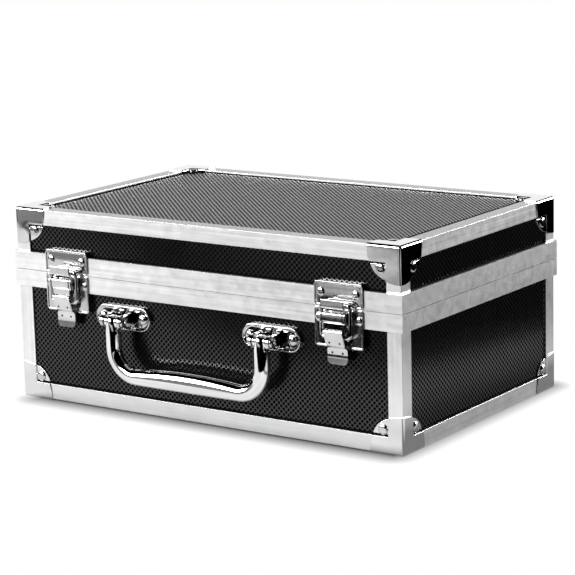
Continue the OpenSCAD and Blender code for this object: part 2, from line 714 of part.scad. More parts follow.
// The handle hangs from its pins: two arms, two bends, a straight underside and an arched grip
module handle() color("#f0f1f2") on_front() translate([handle_shift, 0, handle_out]) {
    arm_x = bracket_pitch / 2;
    for (s = [-1, 1]) mirror([s < 0 ? 1 : 0, 0, 0]) {
        difference() {
            union() {
                translate([arm_x, bracket_z, 0]) rotate([0, 90, 0])
                    cylinder(h = eye_w, r = bar_r, center = true);
                translate([arm_x, grip_z + handle_bend, 0]) rotate([-90, 0, 0])
                    cylinder(h = bracket_z - grip_z - handle_bend, r = bar_r);
            }
            translate([arm_x, bracket_z, 0]) rotate([0, 90, 0])
                cylinder(h = 2 * eye_w, r = handle_pin_r + pin_fit, center = true);
        }
        translate([grip_half, grip_z + handle_bend, 0]) rotate([0, 0, -90])
            rotate_extrude(angle = 90) translate([handle_bend, 0]) circle(bar_r);
    }
    translate([0, grip_z, 0]) rotate([0, 90, 0]) cylinder(h = 2 * grip_half, r = bar_r, center = true);
    linear_extrude(2 * grip_web, center = true) intersection() {
        translate([0, grip_z + bar_r + grip_arch - arch_r]) circle(arch_r, $fn = 200);
        translate([-grip_half, grip_z]) square([2 * grip_half, bar_r + grip_arch + past]);
    }
}

// Hinges, drawn on the back face's frame

// One leaf on its band: side is -1 for the base's leaf, with two knuckles, and 1 for the lid's, with one
module hinge_leaf(side) {
    third = hinge_w / 3;
    clear = knuckle_r + side_play;
    difference() {
        union() {
            translate([0, side * (hinge_leaf + clear) / 2, band_proud + hinge_t / 2])
                cube([hinge_w, hinge_leaf - clear, hinge_t], center = true);
            for (k = side < 0 ? [-1, 1] : [0]) translate([k * third, 0, 0]) {
                width = third - side_play;
                translate([0, side * hinge_leaf / 4, band_proud + hinge_t / 2])
                    cube([width, hinge_leaf / 2, hinge_t], center = true);
                translate([0, 0, hinge_out]) rotate([0, 90, 0])
                    cylinder(h = width, r = knuckle_r, center = true);
            }
        }
        translate([0, 0, hinge_out]) rotate([0, 90, 0])
            cylinder(h = 2 * hinge_w, r = hinge_pin_r + (side < 0 ? pin_fit / 2 : pin_fit), center = true);
        for (t = [-1, 1]) translate([t * hinge_rivet_x, side * hinge_rivet_z, 0]) rivet_hole();
    }
}
// The back face's frame runs from right to left, so side is the case's own left (-1) or right (1)
module at_hinge(side) on_back() translate([-side * hinge_x, seam_z, 0]) children();
module hinge_base_leaf_left() color("#c4c7ca") at_hinge(-1) hinge_leaf(-1);
module hinge_base_leaf_right() color("#c4c7ca") at_hinge(1) hinge_leaf(-1);
module hinge_lid_leaf_left() color("#c4c7ca") at_hinge(-1) hinge_leaf(1);
module hinge_lid_leaf_right() color("#c4c7ca") at_hinge(1) hinge_leaf(1);
module hinge_pins() color("#9ea1a4") for (side = [-1, 1]) at_hinge(side)
    translate([0, 0, hinge_out]) rotate([0, 90, 0])
        cylinder(h = hinge_w - side_play, r = hinge_pin_r, center = true);

// Rivets through the plates that lie on the bands
module base_plate_rivets() color("#b9bcbf") {
    on_front() at_latch_rivets() rivet(plate_out, -panel_in);
    on_back() at_hinge_rivets(-1) rivet(leaf_out, -panel_in);
}
module lid_plate_rivets() color("#b9bcbf") {
    on_front() at_catch_rivets() rivet(plate_out, -panel_in);
    on_back() at_hinge_rivets(1) rivet(leaf_out, -panel_in);
}

// Foam lining: a floor, two side walls, a divider between the two rows and a liner front and back
module foam_floor() color("#303032")
    block([-foam_x, -foam_y, foam_z0], [foam_x, foam_y, foam_z1]);
module foam_wall_right() color("#3a3a3d")
    block([foam_x - foam_wall_t, -foam_y + liner_t, foam_z1], [foam_x, foam_y - liner_t, foam_top]);
module foam_wall_left() color("#3a3a3d") mirror([1, 0, 0])
    block([foam_x - foam_wall_t, -foam_y + liner_t, foam_z1], [foam_x, foam_y - liner_t, foam_top]);
module foam_divider() color("#3a3a3d")
    block([-divider_t / 2, -foam_y + liner_t, foam_z1], [divider_t / 2, foam_y - liner_t, foam_top]);
module foam_liners() color("#303032") for (turn = [0, 180]) rotate([0, 0, turn])
    block([-foam_x, -foam_y, foam_z1], [foam_x, -foam_y + liner_t, foam_top]);
module lid_foam() color("#303032")
    block([-foam_x, -foam_y, lid_foam_z1 - lid_foam_t], [foam_x, foam_y, lid_foam_z1]);

stand() base_front_panel();
stand() base_back_panel();
stand() base_left_panel();
stand() base_right_panel();
stand() base_bottom_panel();
stand() base_rail_front();
stand() base_rail_back();
stand() base_rail_left();
stand() base_rail_right();
stand() base_posts();
stand() base_closing_band();
stand() base_cap_front_left();
stand() base_cap_front_right();
stand() base_cap_back_left();
stand() base_cap_back_right();
stand() base_cap_rivets();
stand() latch_plate_left();
stand() latch_plate_right();
stand() latch_pins();
stand() handle_bracket_left();
stand() handle_bracket_right();
stand() handle_pins();
stand() hinge_base_leaf_left();
stand() hinge_base_leaf_right();
stand() hinge_pins();
stand() base_plate_rivets();
stand() handle_bracket_rivets();
stand() foam_floor();
stand() foam_wall_left();
stand() foam_wall_right();
stand() foam_divider();
stand() foam_liners();
stand() lid_top_panel();
stand() lid_front_panel();
stand() lid_back_panel();
stand() lid_left_panel();
stand() lid_right_panel();
stand() lid_rail_front();
stand() lid_rail_back();
stand() lid_rail_left();
stand() lid_rail_right();
stand() lid_posts();
stand() lid_closing_band();
stand() lid_cap_front_left();
stand() lid_cap_front_right();
stand() lid_cap_back_left();
stand() lid_cap_back_right();
stand() lid_cap_rivets();
stand() catch_plate_left();
stand() catch_plate_right();
stand() hinge_lid_leaf_left();
stand() hinge_lid_leaf_right();
stand() lid_plate_rivets();
stand() lid_foam();
stand() handle();
stand() latch_lever_left();
stand() latch_lever_right();
stand() latch_link_left();
stand() latch_link_right();
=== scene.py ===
import json
import math

import bmesh
import bpy
from mathutils import Matrix, Vector


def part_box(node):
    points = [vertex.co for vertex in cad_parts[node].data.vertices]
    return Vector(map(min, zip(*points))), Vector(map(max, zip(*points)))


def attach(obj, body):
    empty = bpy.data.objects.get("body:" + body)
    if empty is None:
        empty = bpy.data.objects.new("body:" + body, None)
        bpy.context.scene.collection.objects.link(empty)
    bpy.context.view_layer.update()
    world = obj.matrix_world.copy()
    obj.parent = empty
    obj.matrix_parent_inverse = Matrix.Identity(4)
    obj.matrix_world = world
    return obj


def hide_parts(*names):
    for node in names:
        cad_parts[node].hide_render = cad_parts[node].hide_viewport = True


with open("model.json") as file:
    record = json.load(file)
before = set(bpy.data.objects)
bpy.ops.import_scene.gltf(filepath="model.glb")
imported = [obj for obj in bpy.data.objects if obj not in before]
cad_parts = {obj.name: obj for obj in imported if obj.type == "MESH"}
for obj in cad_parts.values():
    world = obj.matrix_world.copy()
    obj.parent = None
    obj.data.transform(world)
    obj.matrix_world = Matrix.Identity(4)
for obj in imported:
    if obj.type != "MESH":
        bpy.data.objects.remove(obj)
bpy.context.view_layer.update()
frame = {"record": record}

# The textured panels: thin boards faced with black plastic sheet, embossed with round pits in diagonal
# rows 2.7 mm apart, and slid into the grooves of the rails. The net between the pits is glossy, but beside
# the lips of rails and bands it is given the pits' dull, darker material: painted shade of the grooves,
# with their dirt. The pits are dull, and all of it is real geometry.

# Sizes of pieces are in millimetres, which MM turns into metres. A pit's radii are shares of the pitch.
MM = 0.001
PITCH = 1.94
PIT_RIM, PIT_FLOOR = 0.6, 0.5
PIT_SIDES = 8
NET_CROWN = 0.012 * MM
PIT_DEPTH = 0.55 * MM
RIM_MARGIN = 0.03
NET, DULL = 0, 1
EVERYWHERE = (-1, 1)
# How far from the lip of a band or rail the net is made dull and darker, as painted shade.
PAINTED_SHADE_BY_BAND, PAINTED_SHADE_BY_SIDE, PAINTED_SHADE_BY_FRONT, PAINTED_SHADE_BY_BACK = 1.2 * MM, 5.5 * MM, 3.5 * MM, 5.0 * MM


def material(name, color, roughness, metallic=0.0):
    """A material with a Principled shader; returns the material, its node tree and the shader."""
    mat = bpy.data.materials.new(name)
    mat.use_nodes = True
    shader = mat.node_tree.nodes["Principled BSDF"]
    shader.inputs["Base Color"].default_value = (*color, 1)
    shader.inputs["Roughness"].default_value = roughness
    shader.inputs["Metallic"].default_value = metallic
    return mat, mat.node_tree, shader


def noise(tree, scale, detail=3.0, stretch=(1, 1, 1)):
    """A noise texture in object space, stretched along the axes; returns its factor."""
    place = tree.nodes.new("ShaderNodeTexCoord")
    mapping = tree.nodes.new("ShaderNodeMapping")
    mapping.inputs["Scale"].default_value = stretch
    texture = tree.nodes.new("ShaderNodeTexNoise")
    texture.inputs["Scale"].default_value = scale
    texture.inputs["Detail"].default_value = detail
    tree.links.new(place.outputs["Object"], mapping.inputs["Vector"])
    tree.links.new(mapping.outputs[0], texture.inputs["Vector"])
    return texture.outputs["Fac"]


def ramp(tree, factor, stops):
    """A colour ramp through (position, grey or colour) stops; returns its colour."""
    node = tree.nodes.new("ShaderNodeValToRGB")
    points = node.color_ramp.elements
    while len(points) < len(stops):
        points.new(0.5)
    for point, (position, value) in zip(points, stops):
        point.position = position
        point.color = (value, value, value, 1) if isinstance(value, (int, float)) else (*value, 1)
    tree.links.new(factor, node.inputs[0])
    return node.outputs[0]


def bump(tree, shader, height, strength, distance):
    """Bump from a height in 0 to 1, put on the shader's normal."""
    node = tree.nodes.new("ShaderNodeBump")
    node.inputs["Strength"].default_value = strength
    node.inputs["Distance"].default_value = distance
    tree.links.new(height, node.inputs["Height"])
    tree.links.new(node.outputs[0], shader.inputs["Normal"])
    return node


def sheet_material(name, tone, roughness, specular):
    """Black embossed sheet: fine grain, faint scuffs and a slightly uneven gloss."""
    mat, tree, shader = material(name, (tone, tone, tone * 1.03), roughness)
    shader.inputs["Specular IOR Level"].default_value = specular
    scuffs = noise(tree, scale=60.0, detail=4.0)
    grain = noise(tree, scale=900.0, detail=2.0)
    color = ramp(tree, scuffs, [(0.3, tone * 0.7), (0.7, tone * 1.3)])
    tree.links.new(color, shader.inputs["Base Color"])
    rough = ramp(tree, scuffs, [(0.3, roughness * 0.8), (0.7, min(1.0, roughness * 1.3))])
    tree.links.new(rough, shader.inputs["Roughness"])
    bump(tree, shader, grain, strength=0.1, distance=0.05 * MM)
    return mat


def mesh_piece(name, mesh, mats, body, node, flat=()):
    """Puts a mesh into the scene on a body, in place of a CAD node, with some materials flat shaded."""
    piece = bpy.data.objects.new(name, mesh)
    bpy.context.collection.objects.link(piece)
    kept = [face.material_index for face in mesh.polygons]
    mesh.materials.clear()
    for mat in mats:
        mesh.materials.append(mat)
    mesh.polygons.foreach_set("material_index", kept)
    mesh.polygons.foreach_set("use_smooth", [index not in flat for index in kept])
    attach(piece, body)
    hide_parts(node)
    return piece


def pit_cell(i, j, verts, faces, marks, crossing, lift):
    """The pit round one lattice point, with the quarter of the net on each of its four sides."""
    rings = []
    for radius, depth in ((PIT_RIM, NET_CROWN), (PIT_FLOOR, PIT_DEPTH)):
        rings.append(range(len(verts), len(verts) + PIT_SIDES))
        for k in range(PIT_SIDES):
            angle = 2 * math.pi * k / PIT_SIDES
            verts.append(lift(i + radius * math.cos(angle), j + radius * math.sin(angle), depth))
    rim, floor_ring = rings
    around = [crossing(i + 1, j), crossing(i, j + 1), crossing(i - 1, j), crossing(i, j - 1)]
    for q in range(4):
        r0, r1, r2 = (rim[(2 * q + n) % PIT_SIDES] for n in range(3))
        faces.append((around[q], around[(q + 1) % 4], r2, r1, r0))
        marks.append(NET)
    for k in range(PIT_SIDES):
        n = (k + 1) % PIT_SIDES
        faces.append((rim[k], rim[n], floor_ring[n], floor_ring[k]))
        marks.append(DULL)
    faces.append(tuple(floor_ring))
    marks.append(DULL)


def panel(node, side, body, clear=(EVERYWHERE, EVERYWHERE)):
    """A panel embossed on one side, a signed axis; outside the clear spans its net is dull and darker, as
    painted shade.
    """
    low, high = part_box(node)
    axis = "xyz".index(side[1])
    sign = 1 if side[0] == "+" else -1
    a, b = [k for k in range(3) if k != axis]
    outer, inner = (high[axis], low[axis]) if sign > 0 else (low[axis], high[axis])
    i0, j0 = (math.ceil(low[k] / PITCH / MM + RIM_MARGIN) for k in (a, b))
    i1, j1 = (math.floor(high[k] / PITCH / MM - RIM_MARGIN) for k in (a, b))
    verts, faces, marks, grid = [], [], [], {}

    def point(along_a, along_b, height):
        """A point from its two places along the sheet and its place on the embossed axis."""
        spot = [0, 0, 0]
        spot[a], spot[b], spot[axis] = along_a, along_b, height
        return spot

    def lift(i, j, depth):
        """The point at a lattice place, at a depth below the face of the sheet."""
        return point(i * PITCH * MM, j * PITCH * MM, outer - sign * depth)

    def crossing(i, j):
        """The vertex that the cells round a crossing of the net share."""
        if (i, j) not in grid:
            grid[i, j] = len(verts)
            verts.append(lift(i, j, 0))
        return grid[i, j]

    for i in range(i0 + 1, i1):
        for j in range(j0 + 1, j1):
            if (i + j) % 2 == 0:
                pit_cell(i, j, verts, faces, marks, crossing, lift)
    loop = [(i, j0) for i in range(i0, i1)] + [(i1, j) for j in range(j0, j1)]
    loop += [(i, j1) for i in range(i1, i0, -1)] + [(i0, j) for j in range(j1, j0, -1)]
    count = len(loop)
    # Half cells close the net along its border.
    for k, (i, j) in enumerate(loop):
        if (i + j) % 2 == 0:
            inward = (i + (i == i0) - (i == i1), j + (j == j0) - (j == j1))
            corners = [loop[k - 1], (i, j), loop[(k + 1) % count]]
            if abs(inward[0] - i) + abs(inward[1] - j) == 1:
                corners.append(inward)
            faces.append(tuple(crossing(*corner) for corner in corners))
            marks.append(DULL)
    # A plain margin, the four edges and the back close the sheet.
    edge_a, edge_b = {i0: low[a], i1: high[a]}, {j0: low[b], j1: high[b]}
    rims = [[crossing(i, j) for i, j in loop]]
    for height in (outer, inner):
        rims.append(list(range(len(verts), len(verts) + count)))
        for i, j in loop:
            verts.append(point(edge_a.get(i, i * PITCH * MM), edge_b.get(j, j * PITCH * MM), height))
    for near, beyond in zip(rims, rims[1:]):
        for k in range(count):
            n = (k + 1) % count
            faces.append((near[n], near[k], beyond[k], beyond[n]))
            marks.append(DULL)
    faces.append(tuple(reversed(rims[2])))
    marks.append(NET)
    # Net faces outside the clear spans, beside the lips, get the dull material: painted shade.
    for k, corners in enumerate(faces):
        for n, (start, end) in zip((a, b), clear):
            if not start < sum(verts[v][n] for v in corners) / len(corners) < end:
                marks[k] = DULL
    if (axis == 1) != (sign < 0):
        faces = [corners[::-1] for corners in faces]
    mesh = bpy.data.meshes.new(node + "_sheet")
    mesh.from_pydata(verts, [], faces)
    mesh.polygons.foreach_set("material_index", marks)
    mesh.update()
    mesh_piece(node + "_sheet", mesh, (sheet_net, sheet_pits_and_shade), body, node, (NET,))


sheet_net = sheet_material("sheet_net", tone=0.005, roughness=0.13, specular=0.72)
# The pits' dull material also darkens the net beside the lips of rails and bands, as painted shade.
sheet_pits_and_shade = sheet_material("sheet_pits_and_shade", tone=0.001, roughness=0.7, specular=0.05)
for half, body, below in (("base", "case_base", "base_rail_front"), ("lid", "lid", "lid_closing_band")):
    above_lip = (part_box(below)[1][2] + PAINTED_SHADE_BY_BAND, 1)
    for word, side in (("front", "-y"), ("back", "+y"), ("left", "-x"), ("right", "+x")):
        panel("%s_%s_panel" % (half, word), side, body, (EVERYWHERE, above_lip))
panel("base_bottom_panel", "-z", "case_base")
panel("lid_top_panel", "+z", "lid", (
    (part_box("lid_rail_left")[1][0] + PAINTED_SHADE_BY_SIDE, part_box("lid_rail_right")[0][0] - PAINTED_SHADE_BY_SIDE),
    (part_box("lid_rail_front")[1][1] + PAINTED_SHADE_BY_FRONT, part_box("lid_rail_back")[0][1] - PAINTED_SHADE_BY_BACK),
))

# The edge rails, posts and closing bands: satin aluminium extrusions. The rails are mitred, the posts
# butt against them under the caps, and each band is one bent loop. Fine lines run along each piece
# from the die, with slow changes in tone, faint handling marks and slightly rounded edges.

LINES_ALONG, LINES_ACROSS = 0.8, 60
BAND_EDGE = 0.03


def math_node(tree, operation, *values):
    """A maths node on sockets or numbers; returns its output."""
    node = tree.nodes.new("ShaderNodeMath")
    node.operation = operation
    for socket, value in zip(node.inputs, values):
        if isinstance(value, (int, float)):
            socket.default_value = value
        else:
            tree.links.new(value, socket)
    return node.outputs[0]


def mixed(tree, first, share, second):
    """Adds two factors, the first by its share and the second by the rest."""
    rest = math_node(tree, "MULTIPLY", second, 1 - share)
    return math_node(tree, "MULTIPLY_ADD", first, share, rest)


def extruded_metal(name, along, tone, roughness, edge=0.5):
    """Satin aluminium with die lines along one axis, cloudy tone and light handling marks."""
    mat, tree, shader = material(name, (tone, tone, tone * 1.01), roughness, 1.0)
    stretch = [LINES_ALONG if axis == along else LINES_ACROSS for axis in "xyz"]
    lines = noise(tree, scale=14.0, detail=4.0, stretch=stretch)
    clouds = noise(tree, scale=16.0)
    marks = noise(tree, scale=160.0, detail=5.0)
    shaded = (tone * 0.88, tone * 0.885, tone * 0.9)
    color = ramp(tree, mixed(tree, lines, 0.55, clouds), [(0.3, shaded), (0.7, (tone, tone, tone))])
    tree.links.new(color, shader.inputs["Base Color"])
    worn = mixed(tree, marks, 0.5, lines)
    rough = ramp(tree, worn, [(0.3, roughness * 0.9), (0.7, min(1.0, roughness * 1.15))])
    tree.links.new(rough, shader.inputs["Roughness"])
    scratches = bump(tree, shader, lines, strength=0.12, distance=0.05 * MM)
    soft = tree.nodes.new("ShaderNodeBevel")
    soft.samples = 4
    soft.inputs["Radius"].default_value = edge * MM
    tree.links.new(soft.outputs[0], scratches.inputs["Normal"])
    return mat


def dress(node, mat):
    """Gives a carried-over CAD node its material."""
    piece = bpy.data.objects[node]
    if not piece.material_slots:
        piece.data.materials.append(mat)
    for slot in piece.material_slots:
        slot.material = mat


rail_x, rail_y, rail_z = [extruded_metal("rail_" + a, a, tone=0.80, roughness=0.34) for a in "xyz"]
band_x = extruded_metal("band_x", "x", tone=0.86, roughness=0.34, edge=BAND_EDGE)
# The base rails are darker copies of the same aluminium: painted shade low down on the case.
foot_x = extruded_metal("foot_x", "x", tone=0.66, roughness=0.38)
painted_shade_rail_y = extruded_metal("painted_shade_rail_y", "y", tone=0.74, roughness=0.36)
for half, long_metal, short_metal in (("base", foot_x, painted_shade_rail_y), ("lid", rail_x, rail_y)):
    for word in ("front", "back"):
        dress("%s_rail_%s" % (half, word), long_metal)
    for word in ("left", "right"):
        dress("%s_rail_%s" % (half, word), short_metal)
    dress(half + "_posts", rail_z)
    dress(half + "_closing_band", band_x)

# The corner caps: pressed and chromed steel, folded over three faces. Each leg lies on a rail and has a
# curved end, and each web is stepped down onto the panel, where one domed rivet holds it. The outer
# edges are round, and the base's four caps are the feet that the case stands on.

case_low, case_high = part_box("base_posts")
case_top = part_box("lid_rail_front")[1][2]
case_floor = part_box("base_rail_front")[0][2]
RAIL_SKIN, CAP, LEG, FOLD = 1.2, 0.8, 11.05, 1.88
LEG_LINES = (LEG, 8, 5, 2.5)
LEG_CELLS, FOLD_STEPS, WEB_STEPS = 3, 7, 14
CAP_REACH, CAP_TIP, WEB_TIP, WEB_PULL, SLIT = 25.2, 23.6, 23.3, 20.6, 1.5
STEP, STEP_ROOT, STEP_SHORT = 0.7, 0.5, 0.3
GAP = 0.02
WELD = 0.002
FACE_TURNS = [Matrix.Rotation(math.radians(120 * k), 4, Vector((1, 1, 1))) for k in range(3)]


def chrome(name, tone, roughness, dirt=0.25):
    """Plated steel: nearly a mirror, with soft waves, fine wipe marks and duller specks."""
    mat, tree, shader = material(name, (tone, tone, tone), roughness, 1.0)
    waves = noise(tree, scale=55.0, detail=2.0)
    wipes = noise(tree, scale=240.0, detail=4.0, stretch=(1, 1, 0.2))
    specks = noise(tree, scale=700.0, detail=2.0)
    color = ramp(tree, waves, [(0.35, tone * (1 - 0.3 * dirt)), (0.65, tone)])
    tree.links.new(color, shader.inputs["Base Color"])
    rough = ramp(tree, mixed(tree, wipes, 0.7, specks), [(0.35, roughness * 0.7), (0.7, roughness * 1.5)])
    tree.links.new(rough, shader.inputs["Roughness"])
    bump(tree, shader, waves, strength=0.35, distance=0.2 * MM)
    return mat


def arc(center, radius, start, end, count=8):
    """Points along a circle from one angle to another, in degrees."""
    angles = [math.radians(start + (end - start) * k / count) for k in range(count + 1)]
    return [(center[0] + radius * math.cos(a), center[1] + radius * math.sin(a)) for a in angles]


def curve_points(a, via, b, count=8):
    """Points along a smooth curve from a to b, pulled towards via."""
    out = []
    for k in range(count + 1):
        t = k / count
        out.append(tuple((1 - t) ** 2 * p + 2 * t * (1 - t) * q + t * t * r for p, q, r in zip(a, via, b)))
    return out


def millimetres(place, x, y, z):
    """A point of a piece's own frame, given in millimetres."""
    return place @ Vector((x * MM, y * MM, z * MM))


def reordered(place, order):
    """The frame whose axes lie along the named axes of another, such as yzx to draw (up, out)."""
    return place @ Matrix([[float(axis == name) for name in order] for axis in "xyz"]).to_4x4()


def skin_rings(bm, rings, closed=True):
    """Joins rings of points with quads; a closed skin also gets a face over its first and last ring."""
    loops = [[bm.verts.new(p) for p in ring] for ring in rings]
    made = []
    for lower, upper in zip(loops, loops[1:]):
        count = len(lower)
        for k in range(count if closed else count - 1):
            n = (k + 1) % count
            made.append(bm.faces.new((lower[k], lower[n], upper[n], upper[k])))
    if closed:
        made += [bm.faces.new(loops[0][::-1]), bm.faces.new(loops[-1])]
    return made


def prism(bm, outline, low, high, place):
    """Adds a closed prism over an outline in millimetres, from one height to another, to a mesh."""
    area = sum(p[0] * q[1] - q[0] * p[1] for p, q in zip(outline, outline[1:] + outline[:1]))
    points = outline if area > 0 else outline[::-1]
    made = skin_rings(bm, [[millimetres(place, x, y, z) for x, y in points] for z in (low, high)])
    if place.determinant() < 0:
        bmesh.ops.reverse_faces(bm, faces=made)


def part(node, ending, bm, mat, body, bevel=0.25, angle=28, segments=3, bores=None):
    """Finishes a built mesh: bores holes, rounds sharp edges, and puts it in place of a CAD node."""
    name = "%s_%s" % (node, ending)
    mesh = bpy.data.meshes.new(name)
    bm.to_mesh(mesh)
    bm.free()
    holder = bpy.data.objects.new(name, mesh)
    bpy.context.collection.objects.link(holder)
    mesh.polygons.foreach_set("use_smooth", [True] * len(mesh.polygons))
    cutter = None
    if bores:
        drilled = bpy.data.meshes.new("bores")
        bores.to_mesh(drilled)
        bores.free()
        cutter = bpy.data.objects.new("bores", drilled)
        bpy.context.collection.objects.link(cutter)
        cut = holder.modifiers.new("bores", "BOOLEAN")
        cut.object, cut.operation, cut.solver, cut.use_self = cutter, "DIFFERENCE", "EXACT", True
    if bevel:
        rounding = holder.modifiers.new("round", "BEVEL")
        rounding.width = bevel * MM
        rounding.segments = segments
        rounding.limit_method = "ANGLE"
        rounding.angle_limit = math.radians(angle)
        rounding.use_clamp_overlap = True
    weighted = holder.modifiers.new("weights", "WEIGHTED_NORMAL")
    weighted.keep_sharp = True
    made = bpy.data.meshes.new_from_object(holder.evaluated_get(bpy.context.evaluated_depsgraph_get()))
    for spare in (holder, cutter):
        if spare:
            bpy.data.objects.remove(spare)
    made.name = name
    return mesh_piece(name, made, [mat], body, node)


def corner_place(side, rear, lid):
    """A corner of the case as a matrix whose three axes run inwards along its edges."""
    x = case_high[0] if side > 0 else case_low[0]
    y = case_high[1] if rear > 0 else case_low[1]
    z = case_top if lid else case_floor
    return Matrix.Translation((x, y, z)) @ Matrix.Diagonal((-side, -rear, -1 if lid else 1, 1))


def folded_leg(bm, place):
    """A leg along the local X axis: sheet folded round the edge of the case, mitred to its neighbours."""
    inset = FOLD - CAP
    skins = []
    for offset in (CAP, GAP):
        flats = [(line, -offset) for line in LEG_LINES]
        fold = arc((inset, inset), inset + offset, 270, 180, FOLD_STEPS)
        rows = []
        for y, z in flats + fold + [(z, y) for y, z in reversed(flats)]:
            across = max(y, z)
            end = CAP_REACH - (CAP_REACH - CAP_TIP) * (max(across - inset, 0) / (LEG - inset)) ** 2
            start = max(across, inset)
            stations = [start + (end - start) * k / LEG_CELLS for k in range(LEG_CELLS + 1)]
            rows.append([millimetres(place, x, y, z) for x in stations])
        skins.append(rows)
    outer, inner = skins
    skin_rings(bm, outer, False)
    skin_rings(bm, [row[::-1] for row in inner], False)
    skin_rings(bm, [[b[-1], a[-1]] for a, b in zip(outer, inner)], False)
    skin_rings(bm, [outer[0], inner[0]], False)
    skin_rings(bm, [inner[-1], outer[-1]], False)


def corner_ball(bm, place, radius):
    """The eighth of a ball that joins three folds at the corner."""
    inset = FOLD - CAP
    angles = [math.pi / 2 * k / FOLD_STEPS for k in range(FOLD_STEPS + 1)]
    rings = []
    for rise in angles:
        flat, z = radius * math.cos(rise), inset - radius * math.sin(rise)
        rings.append([
            millimetres(place, inset - flat * math.cos(turn), inset - flat * math.sin(turn), z)
            for turn in angles
        ])
    skin_rings(bm, rings, False)


def corner_cap(side, rear, lid):
    """One corner cap: three folded legs, the ball at the corner and a riveted web on each face."""
    bm = bmesh.new()
    corner = corner_place(side, rear, lid)
    for turn in FACE_TURNS:
        folded_leg(bm, corner @ turn)
    corner_ball(bm, corner, FOLD)
    corner_ball(bm, corner, FOLD - CAP + GAP)
    bmesh.ops.remove_doubles(bm, verts=bm.verts, dist=WELD * MM)
    bmesh.ops.recalc_face_normals(bm, faces=bm.faces)
    web_face, web_back = RAIL_SKIN - CAP, RAIL_SKIN - GAP
    wall = [
        (LEG - STEP_ROOT, -CAP + GAP), (LEG, -CAP + GAP),
        (LEG + STEP, web_face), (LEG + STEP, web_back), (LEG - STEP_ROOT, web_back),
    ]
    # Each upright web has a slit, in place of a step, beside the level leg.
    for turn, slit_x, slit_y in zip(FACE_TURNS, (0, 0, SLIT), (0, SLIT, 0)):
        place = corner @ turn
        near_x, near_y = LEG + slit_x, LEG + slit_y
        web_edge = curve_points((WEB_TIP, near_y), (WEB_PULL, WEB_PULL), (near_x, WEB_TIP), WEB_STEPS)
        prism(bm, [(near_x, near_y), *web_edge], web_face, web_back, place)
        if not slit_y:
            prism(bm, wall, LEG, WEB_TIP - STEP_SHORT, reordered(place, "yzx"))
        if not slit_x:
            prism(bm, wall, LEG, WEB_TIP - STEP_SHORT, reordered(place, "xzy"))
    where = "%s_%s" % ("back" if rear > 0 else "front", "right" if side > 0 else "left")
    node, body = ("lid_cap_" + where, "lid") if lid else ("base_cap_" + where, "case_base")
    part(node, "shell", bm, cap_chrome, body, bevel=0.2, angle=32)


cap_chrome = chrome("cap_chrome", tone=0.84, roughness=0.055)
for lid in (False, True):
    for side in (-1, 1):
        for rear in (-1, 1):
            corner_cap(side, rear, lid)

# The rivets: plated steel with low domed heads. One holds each web of a cap, two hold each latch plate,
# hinge leaf and handle bracket, and a flat tail spreads each one on the inside.

front_y, back_y = case_low[1], case_high[1]
seam_z = (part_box("hinge_pins")[0][2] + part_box("hinge_pins")[1][2]) / 2
latch_x = (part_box("latch_plate_right")[0][0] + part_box("latch_plate_right")[1][0]) / 2
hinge_x = (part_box("hinge_base_leaf_right")[0][0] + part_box("hinge_base_leaf_right")[1][0]) / 2
CROWN = (
    (1, 0.2), (0.97, 0.4), (0.9, 0.58), (0.79, 0.74),
    (0.63, 0.87), (0.42, 0.95), (0.2, 0.99), (0, 1),
)
HEAD, CAP_HEAD, DOME, UNDERCUT = 3.1, 3.7, 1.36, 0.45
TAIL, TAIL_THICK, TAIL_RADIUS, SHANK = -5.2, 0.8, 2.3, 1.5
CAP_RIVET, HINGE_RIVET, SUNK = 15.5, 14, 0.1
BAND, PLATE, FIELD = 1.82, 3.0, 2.55


def lathe(bm, profile, place, count=28):
    """Adds a turned solid: a profile of (radius, height) in millimetres about the local Z axis."""
    angles = [2 * math.pi * k / count for k in range(count)]
    rings = []
    for r, z in profile:
        around = angles if r > 0 else angles[:1]
        rings.append([bm.verts.new(millimetres(place, r * math.cos(a), r * math.sin(a), z)) for a in around])
    made = []
    for lower, upper in zip(rings, rings[1:]):
        for k in range(count):
            corners = []
            for ring, n in ((lower, k), (lower, k + 1), (upper, k + 1), (upper, k)):
                corner = ring[n % len(ring)]
                if corner not in corners:
                    corners.append(corner)
            if len(corners) > 2:
                made.append(bm.faces.new(corners))
    if place.determinant() < 0:
        bmesh.ops.reverse_faces(bm, faces=made)


def rivet(bm, place, head, seat, height=DOME):
    """A rivet along the local Z axis: a domed head on its seat, a shank, and a flat tail inside."""
    end = TAIL - TAIL_THICK
    tail = [(0, end), (TAIL_RADIUS, end), (TAIL_RADIUS, TAIL)]
    shank = [(SHANK, TAIL), (SHANK, seat), (head - UNDERCUT, seat)]
    dome = [(head * r, seat + height * h) for r, h in CROWN]
    lathe(bm, tail + shank + dome, place)


def wall_place(x, y, z, out):
    """A matrix at a point, whose Z axis points out of the wall and whose Y axis points up."""
    normal = Vector(out)
    up = Vector((0, 0, 1))
    return Matrix.Translation((x, y, z)) @ Matrix((up.cross(normal), up, normal)).transposed().to_4x4()


rivet_chrome = chrome("rivet_chrome", tone=0.72, roughness=0.1, dirt=0.6)
for lid, node, body in ((False, "base_cap_rivets", "case_base"), (True, "lid_cap_rivets", "lid")):
    bm = bmesh.new()
    for side in (-1, 1):
        for rear in (-1, 1):
            for turn in FACE_TURNS:
                web = corner_place(side, rear, lid) @ turn @ Matrix.Diagonal((1, 1, -1, 1))
                spot = web @ Matrix.Translation((CAP_RIVET * MM, CAP_RIVET * MM, 0))
                rivet(bm, spot, CAP_HEAD, CAP - RAIL_SKIN)
    part(node, "heads", bm, rivet_chrome, body, bevel=0)

